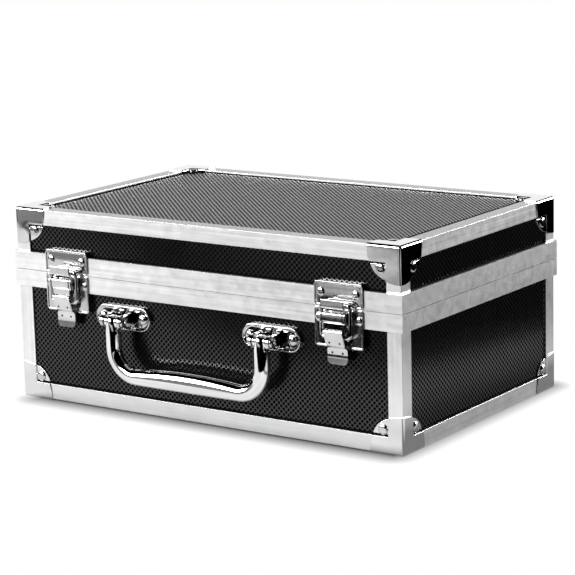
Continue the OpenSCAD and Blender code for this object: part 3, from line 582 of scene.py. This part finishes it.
for node, body, off, up, hinge_up in (
    ("base_plate_rivets", "case_base", 15.4, -7.4, -7.2),
    ("lid_plate_rivets", "lid", 13.5, 9.5, 7.2),
):
    bm = bmesh.new()
    for side in (-1, 1):
        for s in (-1, 1):
            at_latch = (side * latch_x + s * off * MM, front_y, seam_z + up * MM)
            at_hinge = (side * hinge_x + s * HINGE_RIVET * MM, back_y, seam_z + hinge_up * MM)
            rivet(bm, wall_place(*at_latch, (0, -1, 0)), HEAD, FIELD - SUNK)
            rivet(bm, wall_place(*at_hinge, (0, 1, 0)), HEAD, PLATE)
    part(node, "heads", bm, rivet_chrome, body, bevel=0)

# The draw latches: pressed and plated steel. A plate with returned sides and two ears is riveted to the
# base, a catch plate with a hook to the lid. The lever turns on a pin in the ears, and its wire link
# hooks over the catch; closing the lever pulls the link past its dead centre.

SIDES = ((-1, "left"), (1, "right"))
LATCH_HALF, LATCH_CORNER, RETURN, FLAT_HALF = 18.8, 2.4, 1.2, 16.4
PLATE_LOW, PLATE_HIGH, CATCH_LOW, CATCH_HIGH = -26.7, -0.3, 0.2, 16.7
PLATE_RETURN, CATCH_RETURN = (-24.3, -12.2), (12.7, 13.8)
RIM = [
    (0, BAND), (0, PLATE - 0.2), (0.08, PLATE - 0.06), (0.25, PLATE),
    (0.95, PLATE), (1.3, FIELD + 0.1), (1.7, FIELD),
]
PLATE_SWELL = [(5, FIELD + 0.12)]
CATCH_SWELL = [(4, FIELD + 0.15), (6, FIELD + 0.22), (7.6, FIELD + 0.25)]
EAR_LOW, EAR_HIGH, EAR_OUT, EAR_ROUND, EAR_ROOT = -9.3, -1.7, 9.4, 1.4, 2.2
EAR_INSIDE, EAR_OUTSIDE, HOOK_HALF = 8.3, 9.5, 8.5
LEVER_HEAD, FLANGE_INSIDE, FLANGE_OUTSIDE = 7.3, 5.9, 7.1
HOLE, HOLE_ASIDE, HOLES_UP, HOLE_SPAN = 0.8, 4.0, (-22.4, -29.6), (1, 14)
LEVER_BODY = [
    (-8.0, 8.4, 9.5, 7.2), (-9.2, 8.3, 9.4, 7.2), (-13.2, 8.3, 9.3, 7.0), (-13.9, 9.3, 10.4, 6.8),
    (-14.5, 9.6, 10.75, 7.0), (-15.3, 9.7, 10.85, 7.2), (-16.2, 9.4, 10.6, 7.2), (-24.0, 6.6, 7.85, 6.9),
    (-25.0, 5.6, 7.2, 6.8), (-26.2, 4.1, 5.6, 6.9), (-26.9, 3.97, 5.27, 7.4), (-27.6, 3.9, 5.15, 7.8),
]
LEVER_TIP = [
    (-34.6, 3.96, 5.2, 7.75), (-35.3, 4.07, 5.31, 7.5), (-36.0, 4.2, 5.43, 7.0), (-36.7, 4.36, 5.56, 6.2),
    (-37.2, 4.5, 5.65, 5.0),
]
latch_chrome = chrome("latch_chrome", tone=0.72, roughness=0.11)
lever_chrome = chrome("lever_chrome", tone=0.78, roughness=0.09)


def round_box(x0, y0, x1, y1, r, count=5):
    """The outline of a rectangle with rounded corners."""
    corners = ((x1 - r, y0 + r, -90), (x1 - r, y1 - r, 0), (x0 + r, y1 - r, 90), (x0 + r, y0 + r, 180))
    return [p for x, y, start in corners for p in arc((x, y), r, start, start + 90, count)]


def pressed_plate(bm, box, r, levels, place, count=5):
    """A plate pressed in steps: round-cornered rings, each (inset, height), from the back to the face."""
    x0, y0, x1, y1 = box
    rings = []
    for inset, height in levels:
        outline = round_box(x0 + inset, y0 + inset, x1 - inset, y1 - inset, max(r - inset, 0.1), count)
        rings.append([millimetres(place, x, y, height) for x, y in outline])
    skin_rings(bm, rings)


def plate_return(bm, xs, ys, place):
    """A returned edge of a plate: a block from the panel behind it up to the plate's field."""
    (x0, x1), (y0, y1) = sorted(xs), ys
    prism(bm, [(x0, y0), (x1, y0), (x1, y1), (x0, y1)], -RAIL_SKIN, FIELD, place)


def strip(bm, rows, place):
    """A folded strip of sheet, symmetric about the middle: rows of (up, back, face, half width)."""
    rings = []
    for up, low, high, half in rows:
        corners = ((-half, low), (-half, high), (half, high), (half, low))
        rings.append([millimetres(place, x, up, z) for x, z in corners])
    skin_rings(bm, rings)


def cheeks(bm, outline, inside, outside, place):
    """Two like cheeks, one on each side of the middle, from an outline drawn as (up, out)."""
    for s in (-1, 1):
        prism(bm, outline, *sorted((s * inside, s * outside)), reordered(place, "yzx"))


def latch_frame(side):
    """The latch's own frame on the front: X across, Y up from the closing line, Z out of the case."""
    return wall_place(side * latch_x, front_y, seam_z, (0, -1, 0))


def latch_plate(node, place):
    """The plate on the base, with its returns and the two ears of the lever."""
    bm = bmesh.new()
    box = (-LATCH_HALF, PLATE_LOW, LATCH_HALF, PLATE_HIGH)
    pressed_plate(bm, box, LATCH_CORNER, RIM + PLATE_SWELL, place)
    for s in (-1, 1):
        plate_return(bm, (s * (LATCH_HALF - RETURN), s * LATCH_HALF), PLATE_RETURN, place)
    plate_return(bm, (-FLAT_HALF, FLAT_HALF), (PLATE_LOW, PLATE_LOW + RETURN), place)
    ear = [
        (EAR_LOW, EAR_ROOT), (EAR_LOW, EAR_OUT),
        *arc((EAR_LOW + EAR_ROUND, EAR_OUT), EAR_ROUND, 180, 90, 5),
        *arc((EAR_HIGH - EAR_ROUND, EAR_OUT), EAR_ROUND, 90, 0, 5), (EAR_HIGH, EAR_ROOT),
    ]
    cheeks(bm, ear, EAR_INSIDE, EAR_OUTSIDE, place)
    part(node, "pressing", bm, latch_chrome, "case_base")


def catch_plate(node, place):
    """The plate on the lid, with its returns and the hook that the wire link pulls on."""
    bm = bmesh.new()
    box = (-LATCH_HALF, CATCH_LOW, LATCH_HALF, CATCH_HIGH)
    pressed_plate(bm, box, LATCH_CORNER, RIM + CATCH_SWELL, place)
    for s in (-1, 1):
        plate_return(bm, (s * (LATCH_HALF - RETURN), s * LATCH_HALF), CATCH_RETURN, place)
    plate_return(bm, (-FLAT_HALF, FLAT_HALF), (CATCH_HIGH - RETURN, CATCH_HIGH), place)
    hook = [
        (0.2, 2.3), *arc((2.2, 9.1), 2.0, 180, 90, 7), *arc((6.1, 10.5), 0.6, 90, -90, 6),
        *arc((2.2, 9.1), 0.8, 90, 180, 4), (1.4, 2.3),
    ]
    prism(bm, hook, -HOOK_HALF, HOOK_HALF, reordered(place, "yzx"))
    part(node, "pressing", bm, latch_chrome, "lid")


def latch_lever(node, body, place):
    """The lever: a head rolled round the pin, a stepped body with side flanges, and a bored thumb tab."""
    bm = bmesh.new()
    head = [
        (-2.0, 5.4), *arc((-3.2, 9.6), 1.2, 0, 90, 5), *arc((-7.3, 9.6), 1.2, 90, 180, 5), (-8.5, 9.0),
        (-7.4, 9.0), *arc((-6.9, 9.3), 0.5, 180, 90, 3), *arc((-3.5, 9.3), 0.5, 90, 0, 3), (-3.0, 5.4),
    ]
    prism(bm, head, -LEVER_HEAD, LEVER_HEAD, reordered(place, "yzx"))
    hollows = [-0.035 * k + 0.0065 * k * k for k in range(9)]
    tab = [(-30.0 - 0.5 * k, 3.73 + hollow, 4.98 + hollow, 7.8) for k, hollow in enumerate(hollows)]
    strip(bm, LEVER_BODY + tab + LEVER_TIP, place)
    flange = [(-8.0, 9.0), (-13.2, 8.9), (-15.3, 10.2), (-24.6, 6.9), (-23.2, 4.4), (-8.0, 4.4)]
    cheeks(bm, flange, FLANGE_INSIDE, FLANGE_OUTSIDE, place)
    bores = bmesh.new()
    start, end = HOLE_SPAN
    for x in (-HOLE_ASIDE, HOLE_ASIDE):
        for up in HOLES_UP:
            spot = place @ Matrix.Translation((x * MM, up * MM, 0))
            lathe(bores, [(0, start), (HOLE, start), (HOLE, end), (0, end)], spot, count=14)
    part(node, "folded", bm, lever_chrome, body, bores=bores)


for side, word in SIDES:
    place = latch_frame(side)
    latch_plate("latch_plate_" + word, place)
    catch_plate("catch_plate_" + word, place)
    latch_lever("latch_lever_" + word, "latch_%s_lever" % word, place)


def tube(bm, path, radius, count=16):
    """Adds a round wire along a path of points in metres, closed with flat ends."""
    angles = [2 * math.pi * i / count for i in range(count)]
    rings = []
    before = None
    for k, point in enumerate(path):
        ahead = (path[min(k + 1, len(path) - 1)] - path[max(k - 1, 0)]).normalized()
        if before is None:
            normal = ahead.orthogonal().normalized()
        else:
            normal = (before - ahead * before.dot(ahead)).normalized()
        before = normal
        side = ahead.cross(normal)
        rings.append([point + (normal * math.cos(a) + side * math.sin(a)) * radius * MM for a in angles])
    skin_rings(bm, rings)


WIRE, WIRE_OUT, WIRE_BEND = 1.5, 6.2, 2.6
WIRE_END, WIRE_ASIDE, WIRE_LOW, WIRE_HIGH = 5.6, 8.4, -16.1, 0.5
wire_steel = chrome("wire_steel", tone=0.7, roughness=0.06, dirt=0.4)
for side, word in SIDES:
    place = latch_frame(side)
    right_half = [
        (WIRE_END, WIRE_LOW - WIRE_BEND), (WIRE_ASIDE, WIRE_LOW - WIRE_BEND),
        *arc((WIRE_ASIDE, WIRE_LOW), WIRE_BEND, -90, 0), *arc((WIRE_ASIDE, WIRE_HIGH), WIRE_BEND, 0, 90),
        (0, WIRE_HIGH + WIRE_BEND),
    ]
    whole = right_half + [(-x, y) for x, y in reversed(right_half[:-1])]
    bm = bmesh.new()
    tube(bm, [millimetres(place, x, y, WIRE_OUT) for x, y in whole], WIRE, count=20)
    node, body = "latch_link_" + word, "latch_%s_link" % word
    part(node, "wire", bm, wire_steel, body, bevel=0.2, angle=60, segments=2)
dress("latch_pins", rivet_chrome)

# The handle: a chromed bar bent down at both ends, with a thicker, arched grip. It hangs from two
# brackets, each a long plate with round ends, two rivets and two ears with a headed pin between them.

pivot = next(j for j in frame["record"]["behaviour"]["joints"] if j["name"] == "handle_swing")["pos_m"]
bracket_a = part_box("handle_bracket_left")
bracket_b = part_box("handle_bracket_right")
middle = (bracket_a[0][0] + bracket_b[1][0]) / 2
arm = (bracket_b[0][0] + bracket_b[1][0]) / 2 - middle
reach = (front_y - pivot[1]) / MM
BAR, DEEP, BEND, SWELL = 5.8, 4.95, 19.0, 2.2
ARM_END = ((4.4, 1.2), (4.1, 2.3), (3.3, 3.5), (2.0, 4.4), (0.0, 4.9), (-3, 5.2), (-5, 5.5))
ARM_START, ARM_STEP, BEND_STEPS, GRIP_CELLS, BAR_SIDES = 7, 2, 16, 32, 32
EYE_BORE, EYE_HALF = 2.1, 5.3
COLLAR = [(3.5, EYE_HALF), (4.1, 4.8), (4.1, 3.9), (3.4, 3.5)]
DISH, EAR = 1.0, 4.5
BRACKET_LEVELS = [
    (0, -RAIL_SKIN), (0, 1.3), (0.1, 1.6), (0.35, 1.77), (0.7, 1.8),
    (1.05, 1.7), (1.4, 1.3), (1.9, 0.85), (2.8, 0.75), (5.5, DISH),
]
CHEEK_INSIDE, CHEEK_OUTSIDE = 5.9, 8.2
BRACKET_RIVET, BRACKET_HEAD, BRACKET_DOME = 17, 3.6, 2.1
PIN, PIN_CAP, PIN_SEAT, PIN_EDGE, PIN_DOME = 2.0, 3.7, 8.3, 8.9, 1.6


def handle_path():
    """Centre line in millimetres from the pivot's middle: (across, up, share of the grip, radius)."""
    half = arm / MM
    drop = (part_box("handle")[0][2] - pivot[2]) / MM + BAR
    down = [(half, up, 0, radius) for up, radius in ARM_END]
    steps = int((-drop - BEND - ARM_START) / ARM_STEP)
    down += [(half, -ARM_START - ARM_STEP * k, 0, BAR) for k in range(steps)]
    down += [(x, y, 0, BAR) for x, y in arc((half - BEND, drop + BEND), BEND, 0, -90, BEND_STEPS)]
    inner = half - BEND
    across = [inner * math.cos(math.pi * k / GRIP_CELLS) for k in range(1, GRIP_CELLS)]
    grip = [(x, drop, 1 - (x / inner) ** 2, BAR) for x in across]
    return down + grip + [(-x, y, share, radius) for x, y, share, radius in reversed(down)]


def pin_axis(s):
    """A matrix at one end of the handle's axis, whose Z axis runs along that axis."""
    sideways = Matrix.Rotation(math.radians(90), 4, "Y")
    return Matrix.Translation((middle + s * arm, pivot[1], pivot[2])) @ sideways


def handle_bar():
    """The bar, swollen upwards along the grip, with a domed end over the eye of each arm."""
    bm = bmesh.new()
    path = handle_path()
    rings = []
    for k, (x, y, grip, radius) in enumerate(path):
        ax, ay = path[max(k - 1, 0)][:2]
        bx, by = path[min(k + 1, len(path) - 1)][:2]
        length = math.hypot(bx - ax, by - ay)
        nx, ny = (by - ay) / length, -(bx - ax) / length
        ring = []
        for i in range(BAR_SIDES):
            angle = 2 * math.pi * i / BAR_SIDES
            c, s = math.cos(angle), math.sin(angle)
            along = (radius + (SWELL * grip if c > 0 else 0)) * c
            depth = min(radius, DEEP) * math.copysign(abs(s) ** (1 - 0.15 * grip), s)
            right, up = x + nx * along, y + ny * along
            ring.append(Vector((middle + right * MM, pivot[1] + depth * MM, pivot[2] + up * MM)))
        rings.append(ring)
    skin_rings(bm, rings)
    eye = [(EYE_BORE, -EYE_HALF), *[(r, -z) for r, z in COLLAR], *reversed(COLLAR), (EYE_BORE, EYE_HALF)]
    for s in (-1, 1):
        lathe(bm, eye + eye[:1], pin_axis(s), count=36)
    bmesh.ops.recalc_face_normals(bm, faces=bm.faces)
    return bm


def handle_bracket(s, word):
    """A bracket: a pressed plate with round ends, and two cheeks that curve up to the ears."""
    node = "handle_bracket_" + word
    low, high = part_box(node)
    half, tall = (high[0] - low[0]) / 2 / MM, (high[2] - low[2]) / 2 / MM
    place = wall_place(middle + s * arm, front_y, pivot[2], (0, -1, 0))
    bm = bmesh.new()
    pressed_plate(bm, (-half, -tall, half, tall), tall, BRACKET_LEVELS, place, count=10)
    flank = [(6.2, DISH - 0.4), *curve_points((5.8, 1.8), (3.2, 3.0), (4.1, reach - 2.9), 6)]
    cheek = flank + arc((0, reach), EAR, -35, 215, 26) + [(-up, out) for up, out in reversed(flank)]
    cheeks(bm, cheek, CHEEK_INSIDE, CHEEK_OUTSIDE, place)
    part(node, "casting", bm, bracket_chrome, "case_base", bevel=0.9, angle=44, segments=4)


handle_chrome = chrome("handle_chrome", tone=0.92, roughness=0.05, dirt=0.15)
part("handle", "bar", handle_bar(), handle_chrome, "handle", bevel=0)
bracket_chrome = chrome("bracket_chrome", tone=0.7, roughness=0.05, dirt=0.5)
for s, word in SIDES:
    handle_bracket(s, word)
bm = bmesh.new()
for s in (-1, 1):
    for t in (-1, 1):
        spot = wall_place(middle + s * arm + t * BRACKET_RIVET * MM, front_y, pivot[2], (0, -1, 0))
        rivet(bm, spot, BRACKET_HEAD, DISH, BRACKET_DOME)
part("handle_bracket_rivets", "heads", bm, rivet_chrome, "case_base", bevel=0)
bm = bmesh.new()
angles = [math.radians(a) for a in range(80, -1, -10)]
pin_head = [(PIN_CAP, PIN_SEAT), (PIN_CAP, PIN_EDGE)]
pin_head += [(PIN_CAP * math.sin(a), PIN_EDGE + PIN_DOME * math.cos(a)) for a in angles]
pin = [(r, -z) for r, z in reversed(pin_head)] + [(PIN, -PIN_SEAT), (PIN, PIN_SEAT)] + pin_head
for s in (-1, 1):
    lathe(bm, pin, pin_axis(s))
part("handle_pins", "headed", bm, rivet_chrome, "case_base", bevel=0)

# The hinges: plated steel leaves, each held on the back by two rivets. Their edges are rolled into
# knuckles, which turn on one pin for each hinge, level with the closing line.

for half in ("base", "lid"):
    for word in ("left", "right"):
        dress("hinge_%s_leaf_%s" % (half, word), latch_chrome)
dress("hinge_pins", rivet_chrome)

# The foam lining: charcoal closed-cell foam, cut into blocks that fill the base round two rows for the
# card slabs, and one thick pad in the lid. Its edges are soft and its faces bulge a little.

FOAM_EDGE, FOAM_CROWN, FOAM_CELL, MOST_CELLS = 1.6, 0.5, 10, 24
LINER = 6


def foam_material(name, tone):
    """Closed-cell foam: fine open cells at the cut surface, slightly mottled and quite dull."""
    mat, tree, shader = material(name, (tone, tone, tone * 1.05), 0.9)
    place = tree.nodes.new("ShaderNodeTexCoord")
    cells = tree.nodes.new("ShaderNodeTexVoronoi")
    cells.inputs["Scale"].default_value = 950.0
    tree.links.new(place.outputs["Object"], cells.inputs["Vector"])
    both = mixed(tree, cells.outputs["Distance"], 0.6, noise(tree, scale=40.0, detail=4.0))
    color = ramp(tree, both, [(0.2, tone * 0.6), (0.6, tone * 1.3)])
    tree.links.new(color, shader.inputs["Base Color"])
    bump(tree, shader, both, strength=0.6, distance=0.3 * MM)
    shader.inputs["Sheen Weight"].default_value = 0.15
    return mat


def foam_block(bm, low, high):
    """A block of foam with soft edges, whose top face swells in its middle."""
    edge = FOAM_EDGE * MM
    spans = []
    for start, end in zip(low, high):
        length = end - start
        cells = max(2, min(MOST_CELLS, int(length / (FOAM_CELL * MM))))
        inner = [start + edge + (length - 2 * edge) * k / cells for k in range(cells)]
        spans.append([start, *inner, end - edge, end])
    seen = {}

    def vertex(key):
        """The shared vertex at one crossing of the spans, lower on the top face towards its rim."""
        if key not in seen:
            spot = [span[k] for span, k in zip(spans, key)]
            if key[2] == len(spans[2]) - 1:
                u, v = (2 * (spot[m] - low[m]) / (high[m] - low[m]) - 1 for m in (0, 1))
                spot[2] -= FOAM_CROWN * MM * (u ** 2 + v ** 2) / 2
            seen[key] = bm.verts.new(spot)
        return seen[key]

    for axis in (2, 1, 0):
        for i in range(len(spans[(axis + 1) % 3]) - 1):
            for j in range(len(spans[(axis + 2) % 3]) - 1):
                square = ((i, j), (i + 1, j), (i + 1, j + 1), (i, j + 1))
                for level, corners in ((0, square[::-1]), (len(spans[axis]) - 1, square)):
                    keys = [(level, *corner) for corner in corners]
                    bm.faces.new([vertex(key[-axis:] + key[:-axis]) for key in keys])


foam_dark = foam_material("foam_dark", 0.035)
for node, body in (
    ("foam_floor", "case_base"), ("foam_wall_left", "case_base"), ("foam_wall_right", "case_base"),
    ("foam_divider", "case_base"), ("foam_liners", "case_base"), ("lid_foam", "lid"),
):
    low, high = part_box(node)
    bm = bmesh.new()
    if node == "foam_liners":
        foam_block(bm, low, (high[0], low[1] + LINER * MM, high[2]))
        foam_block(bm, (low[0], high[1] - LINER * MM, low[2]), high)
    else:
        foam_block(bm, low, high)
    if node == "lid_foam":
        over = Matrix.Translation((0, 0, low[2] + high[2])) @ Matrix.Diagonal((1, 1, -1, 1))
        bmesh.ops.transform(bm, matrix=over, verts=bm.verts)
        bmesh.ops.reverse_faces(bm, faces=bm.faces)
    piece = part(node, "block", bm, foam_dark, body, bevel=1.0, angle=60)

# The stage: dark matt paper cut close round the case, grey sheets beyond it at the front and the left,
# a white one at the right, soft lights and a dark room. The camera sees all the sheets as plain white,
# save a band of painted shadow at the foot of the case, where the dark paper and its real shadow show
# and fade out. To mirror rays the sheets glow as painted reflections, the floor's in patches and dimmer
# beside the right side. So upright chrome mirrors white low down and grey or black above it.

# The rims of the sheets are places on the floor, in metres.
PAPER_RIM = [
    (-0.75, 0.30), (-0.20, 0.42), (0.12, 0.38), (0.23, 0.29), (0.27, 0.12), (0.29, -0.04),
    (0.27, -0.17), (0.14, -0.26), (0.0, -0.28), (-0.12, -0.29), (-0.20, -0.34), (-0.27, -0.368),
    (-0.34, -0.39), (-0.39, -0.48), (-0.50, -0.58), (-0.64, -0.59), (-0.78, -0.45), (-0.82, -0.1),
]
FRONT_RIM = [
    (-0.36, -0.62), (-0.20, -0.47), (0.00, -0.44), (0.10, -0.50),
    (0.10, -0.80), (-0.10, -0.86), (-0.34, -0.80),
]
LEFT_RIM = [(-0.56, -0.645), (-0.70, -0.64), (-0.82, -0.74), (-0.68, -0.82), (-0.56, -0.76)]
SIDE_RIM = [(0.52, -0.34), (0.72, -0.34), (0.80, -0.50), (0.60, -0.54)]
RIM_STEPS = 8
# The painted shadow band round the foot of the case: narrowed at the left and right, fading out over this
# width.
LEFT_CUT, RIGHT_CUT = 16 * MM, 8 * MM
PAINTED_SHADOW_FADE = 20 * MM
# Where the floor's glow to mirror rays dims beside the right side: painted shade in its reflection.
DIM_START, DIM_END = 10 * MM, 90 * MM
PLAIN_WHITE = (1, 1, 1, 1)


def map_range(tree, value, start, end):
    """Maps a span onto 0 to 1; returns the result."""
    node = tree.nodes.new("ShaderNodeMapRange")
    node.inputs["From Min"].default_value = start
    node.inputs["From Max"].default_value = end
    tree.links.new(value, node.inputs["Value"])
    return node.outputs[0]


def outside_case(tree, spot):
    """How far a spot on the floor lies outside the foot of the case, less the cuts at its sides."""
    foot_middle = ((LEFT_CUT - RIGHT_CUT) / 2, (front_y + back_y) / 2, 0)
    foot_half = (case_high[0] - (LEFT_CUT + RIGHT_CUT) / 2, (back_y - front_y) / 2, 0)
    for operation, amount in (
        ("SUBTRACT", foot_middle), ("ABSOLUTE", None), ("SUBTRACT", foot_half),
        ("MAXIMUM", (0, 0, 0)), ("LENGTH", None),
    ):
        node = tree.nodes.new("ShaderNodeVectorMath")
        node.operation = operation
        tree.links.new(spot, node.inputs[0])
        if amount:
            node.inputs[1].default_value = amount
        spot = node.outputs["Value" if operation == "LENGTH" else "Vector"]
    return spot


def paper_material(name, glossy, right):
    """Dark matt paper, white to camera rays past a painted shadow; a grey painted glow to mirrors, dimmer on
    the right.
    """
    mat, tree, shader = material(name, (0.16, 0.16, 0.16), 0.85)
    mottle = ramp(tree, noise(tree, scale=3.0, detail=2.0), [(0.3, 0.15), (0.7, 0.17)])
    tree.links.new(mottle, shader.inputs["Base Color"])
    spot = tree.nodes.new("ShaderNodeTexCoord").outputs["Object"]
    # Near the foot of the case the camera sees the dark paper with its real shadow, fading to plain white:
    # painted shadow.
    far = map_range(tree, outside_case(tree, spot), 0.0, PAINTED_SHADOW_FADE)
    rays = tree.nodes.new("ShaderNodeLightPath")
    camera, mirror = rays.outputs["Is Camera Ray"], rays.outputs["Is Glossy Ray"]
    share = math_node(tree, "MULTIPLY", math_node(tree, "MAXIMUM", camera, mirror), far)
    # To mirror rays the paper glows in noise patches, dimmed beside the right side: painted reflection.
    clouds = ramp(tree, noise(tree, scale=11.0), [(0.35, glossy * 0.55), (0.65, min(1.0, glossy * 1.7))])
    apart = tree.nodes.new("ShaderNodeSeparateXYZ")
    tree.links.new(spot, apart.inputs[0])
    dimmed = map_range(tree, apart.outputs[0], case_high[0] - DIM_START, case_high[0] + DIM_END)
    beside, beyond = right
    shade = ramp(tree, dimmed, [(0.0, 1.0), (0.15, beside), (0.4, beside), (0.85, beyond)])
    seen = math_node(tree, "MULTIPLY", math_node(tree, "MULTIPLY", mirror, clouds), shade)
    paper = tree.nodes.new("ShaderNodeEmission")
    paper.inputs["Color"].default_value = PLAIN_WHITE
    tree.links.new(math_node(tree, "MAXIMUM", camera, seen), paper.inputs["Strength"])
    blend = tree.nodes.new("ShaderNodeMixShader")
    output = next(n for n in tree.nodes if n.type == "OUTPUT_MATERIAL")
    tree.links.new(share, blend.inputs[0])
    tree.links.new(shader.outputs[0], blend.inputs[1])
    tree.links.new(paper.outputs[0], blend.inputs[2])
    tree.links.new(blend.outputs[0], output.inputs[0])
    return mat


def paper_sheet(name, rim, glossy, right=(1.0, 1.0)):
    """A flat sheet on the floor with a smooth rim through the given points."""
    bm = bmesh.new()
    count = len(rim)
    points = []
    for k in range(count):
        p0, p1, p2, p3 = (Vector(rim[(k + n) % count]) for n in (-1, 0, 1, 2))
        for step in range(RIM_STEPS):
            t = step / RIM_STEPS
            bend = 2 * p1 + (p2 - p0) * t + (2 * p0 - 5 * p1 + 4 * p2 - p3) * t * t
            bend += (3 * p1 - p0 - 3 * p2 + p3) * t ** 3
            points.append(bm.verts.new((*(bend / 2), 0)))
    face = bm.faces.new(points)
    face.normal_update()
    if face.normal.z < 0:
        face.normal_flip()
    mesh = bpy.data.meshes.new(name)
    bm.to_mesh(mesh)
    bm.free()
    mesh.materials.append(paper_material(name + "_paper", glossy, right))
    sheet = bpy.data.objects.new(name, mesh)
    bpy.context.collection.objects.link(sheet)


# Each sheet's level is how brightly it glows to mirror rays: painted reflections for the chrome.
paper_sheet("floor", PAPER_RIM, glossy=1.5, right=(0.26, 0.85))
paper_sheet("floor_front", FRONT_RIM, glossy=0.42)
paper_sheet("floor_left", LEFT_RIM, glossy=0.25)
paper_sheet("floor_side", SIDE_RIM, glossy=1.0)

CASE_MIDDLE = 70 * MM
ROOM_LIGHT = 0.1


def soft_light(name, bearing, height, distance, width, tall, radiance):
    """A soft box that faces the case: bearing from the front and height in degrees, the rest in metres."""
    lamp = bpy.data.lights.new(name, "AREA")
    lamp.shape = "RECTANGLE"
    lamp.size, lamp.size_y = width, tall
    lamp.energy = radiance * math.pi * width * tall
    holder = bpy.data.objects.new(name, lamp)
    bpy.context.collection.objects.link(holder)
    angle, rise = math.radians(bearing), math.radians(height)
    aim = Vector((math.sin(angle) * math.cos(rise), -math.cos(angle) * math.cos(rise), math.sin(rise)))
    holder.location = aim * distance + Vector((0, 0, CASE_MIDDLE))
    holder.rotation_euler = aim.to_track_quat("Z", "Y").to_euler()
    holder.visible_camera = False


soft_light("key_left", -35, 19, 2.2, 1.8, 0.8, 18.0)
soft_light("back_low", -148, 15, 2.6, 2.0, 0.9, 1.0)
soft_light("side_right", 142, 14, 2.2, 1.2, 0.8, 17.0)
soft_light("wall_left", -36, 1, 2.6, 2.4, 0.72, 0.22)
soft_light("overhead", 0, 88, 2.0, 1.4, 1.2, 0.3)

world = bpy.data.worlds.new("studio")
bpy.context.scene.world = world
world.use_nodes = True
tree = world.node_tree
tree.nodes.clear()
output = tree.nodes.new("ShaderNodeOutputWorld")
rays = tree.nodes.new("ShaderNodeLightPath")
dim = math_node(tree, "MULTIPLY", rays.outputs["Is Diffuse Ray"], ROOM_LIGHT)
surround = tree.nodes.new("ShaderNodeBackground")
surround.inputs["Color"].default_value = PLAIN_WHITE
tree.links.new(math_node(tree, "MAXIMUM", rays.outputs["Is Camera Ray"], dim), surround.inputs["Strength"])
tree.links.new(surround.outputs[0], output.inputs[0])

scene = bpy.context.scene
scene.view_settings.view_transform = "Standard"
AZIMUTH, ELEVATION, ROLL = 34.881, 12.097, -1.5195
DISTANCE, FOCAL_PIXELS, PHOTO_WIDTH, SENSOR = 1.5426, 2279.65, 575, 36.0
AIM_HEIGHT, AIM_ACROSS, AIM_ABOVE = 64, 59.39, 28.66
azimuth, elevation, roll = (math.radians(angle) for angle in (AZIMUTH, ELEVATION, ROLL))
ahead = Vector((
    -math.sin(azimuth) * math.cos(elevation), math.cos(azimuth) * math.cos(elevation), -math.sin(elevation),
))
across = Vector((math.cos(azimuth), math.sin(azimuth), 0))
above = across.cross(ahead)
aim = Vector((0, front_y, case_floor + AIM_HEIGHT * MM)) + across * AIM_ACROSS * MM + above * AIM_ABOVE * MM
turned = across * math.cos(roll) + above * math.sin(roll)
upright = above * math.cos(roll) - across * math.sin(roll)
lens = bpy.data.cameras.new("camera")
lens.sensor_width = SENSOR
lens.lens = SENSOR * FOCAL_PIXELS / PHOTO_WIDTH
lens.clip_start, lens.clip_end = 0.05, 30
camera = bpy.data.objects.new("camera", lens)
bpy.context.collection.objects.link(camera)
basis = Matrix((turned, upright, -ahead)).transposed().to_4x4()
camera.matrix_world = Matrix.Translation(aim - ahead * DISTANCE) @ basis
scene.camera = camera
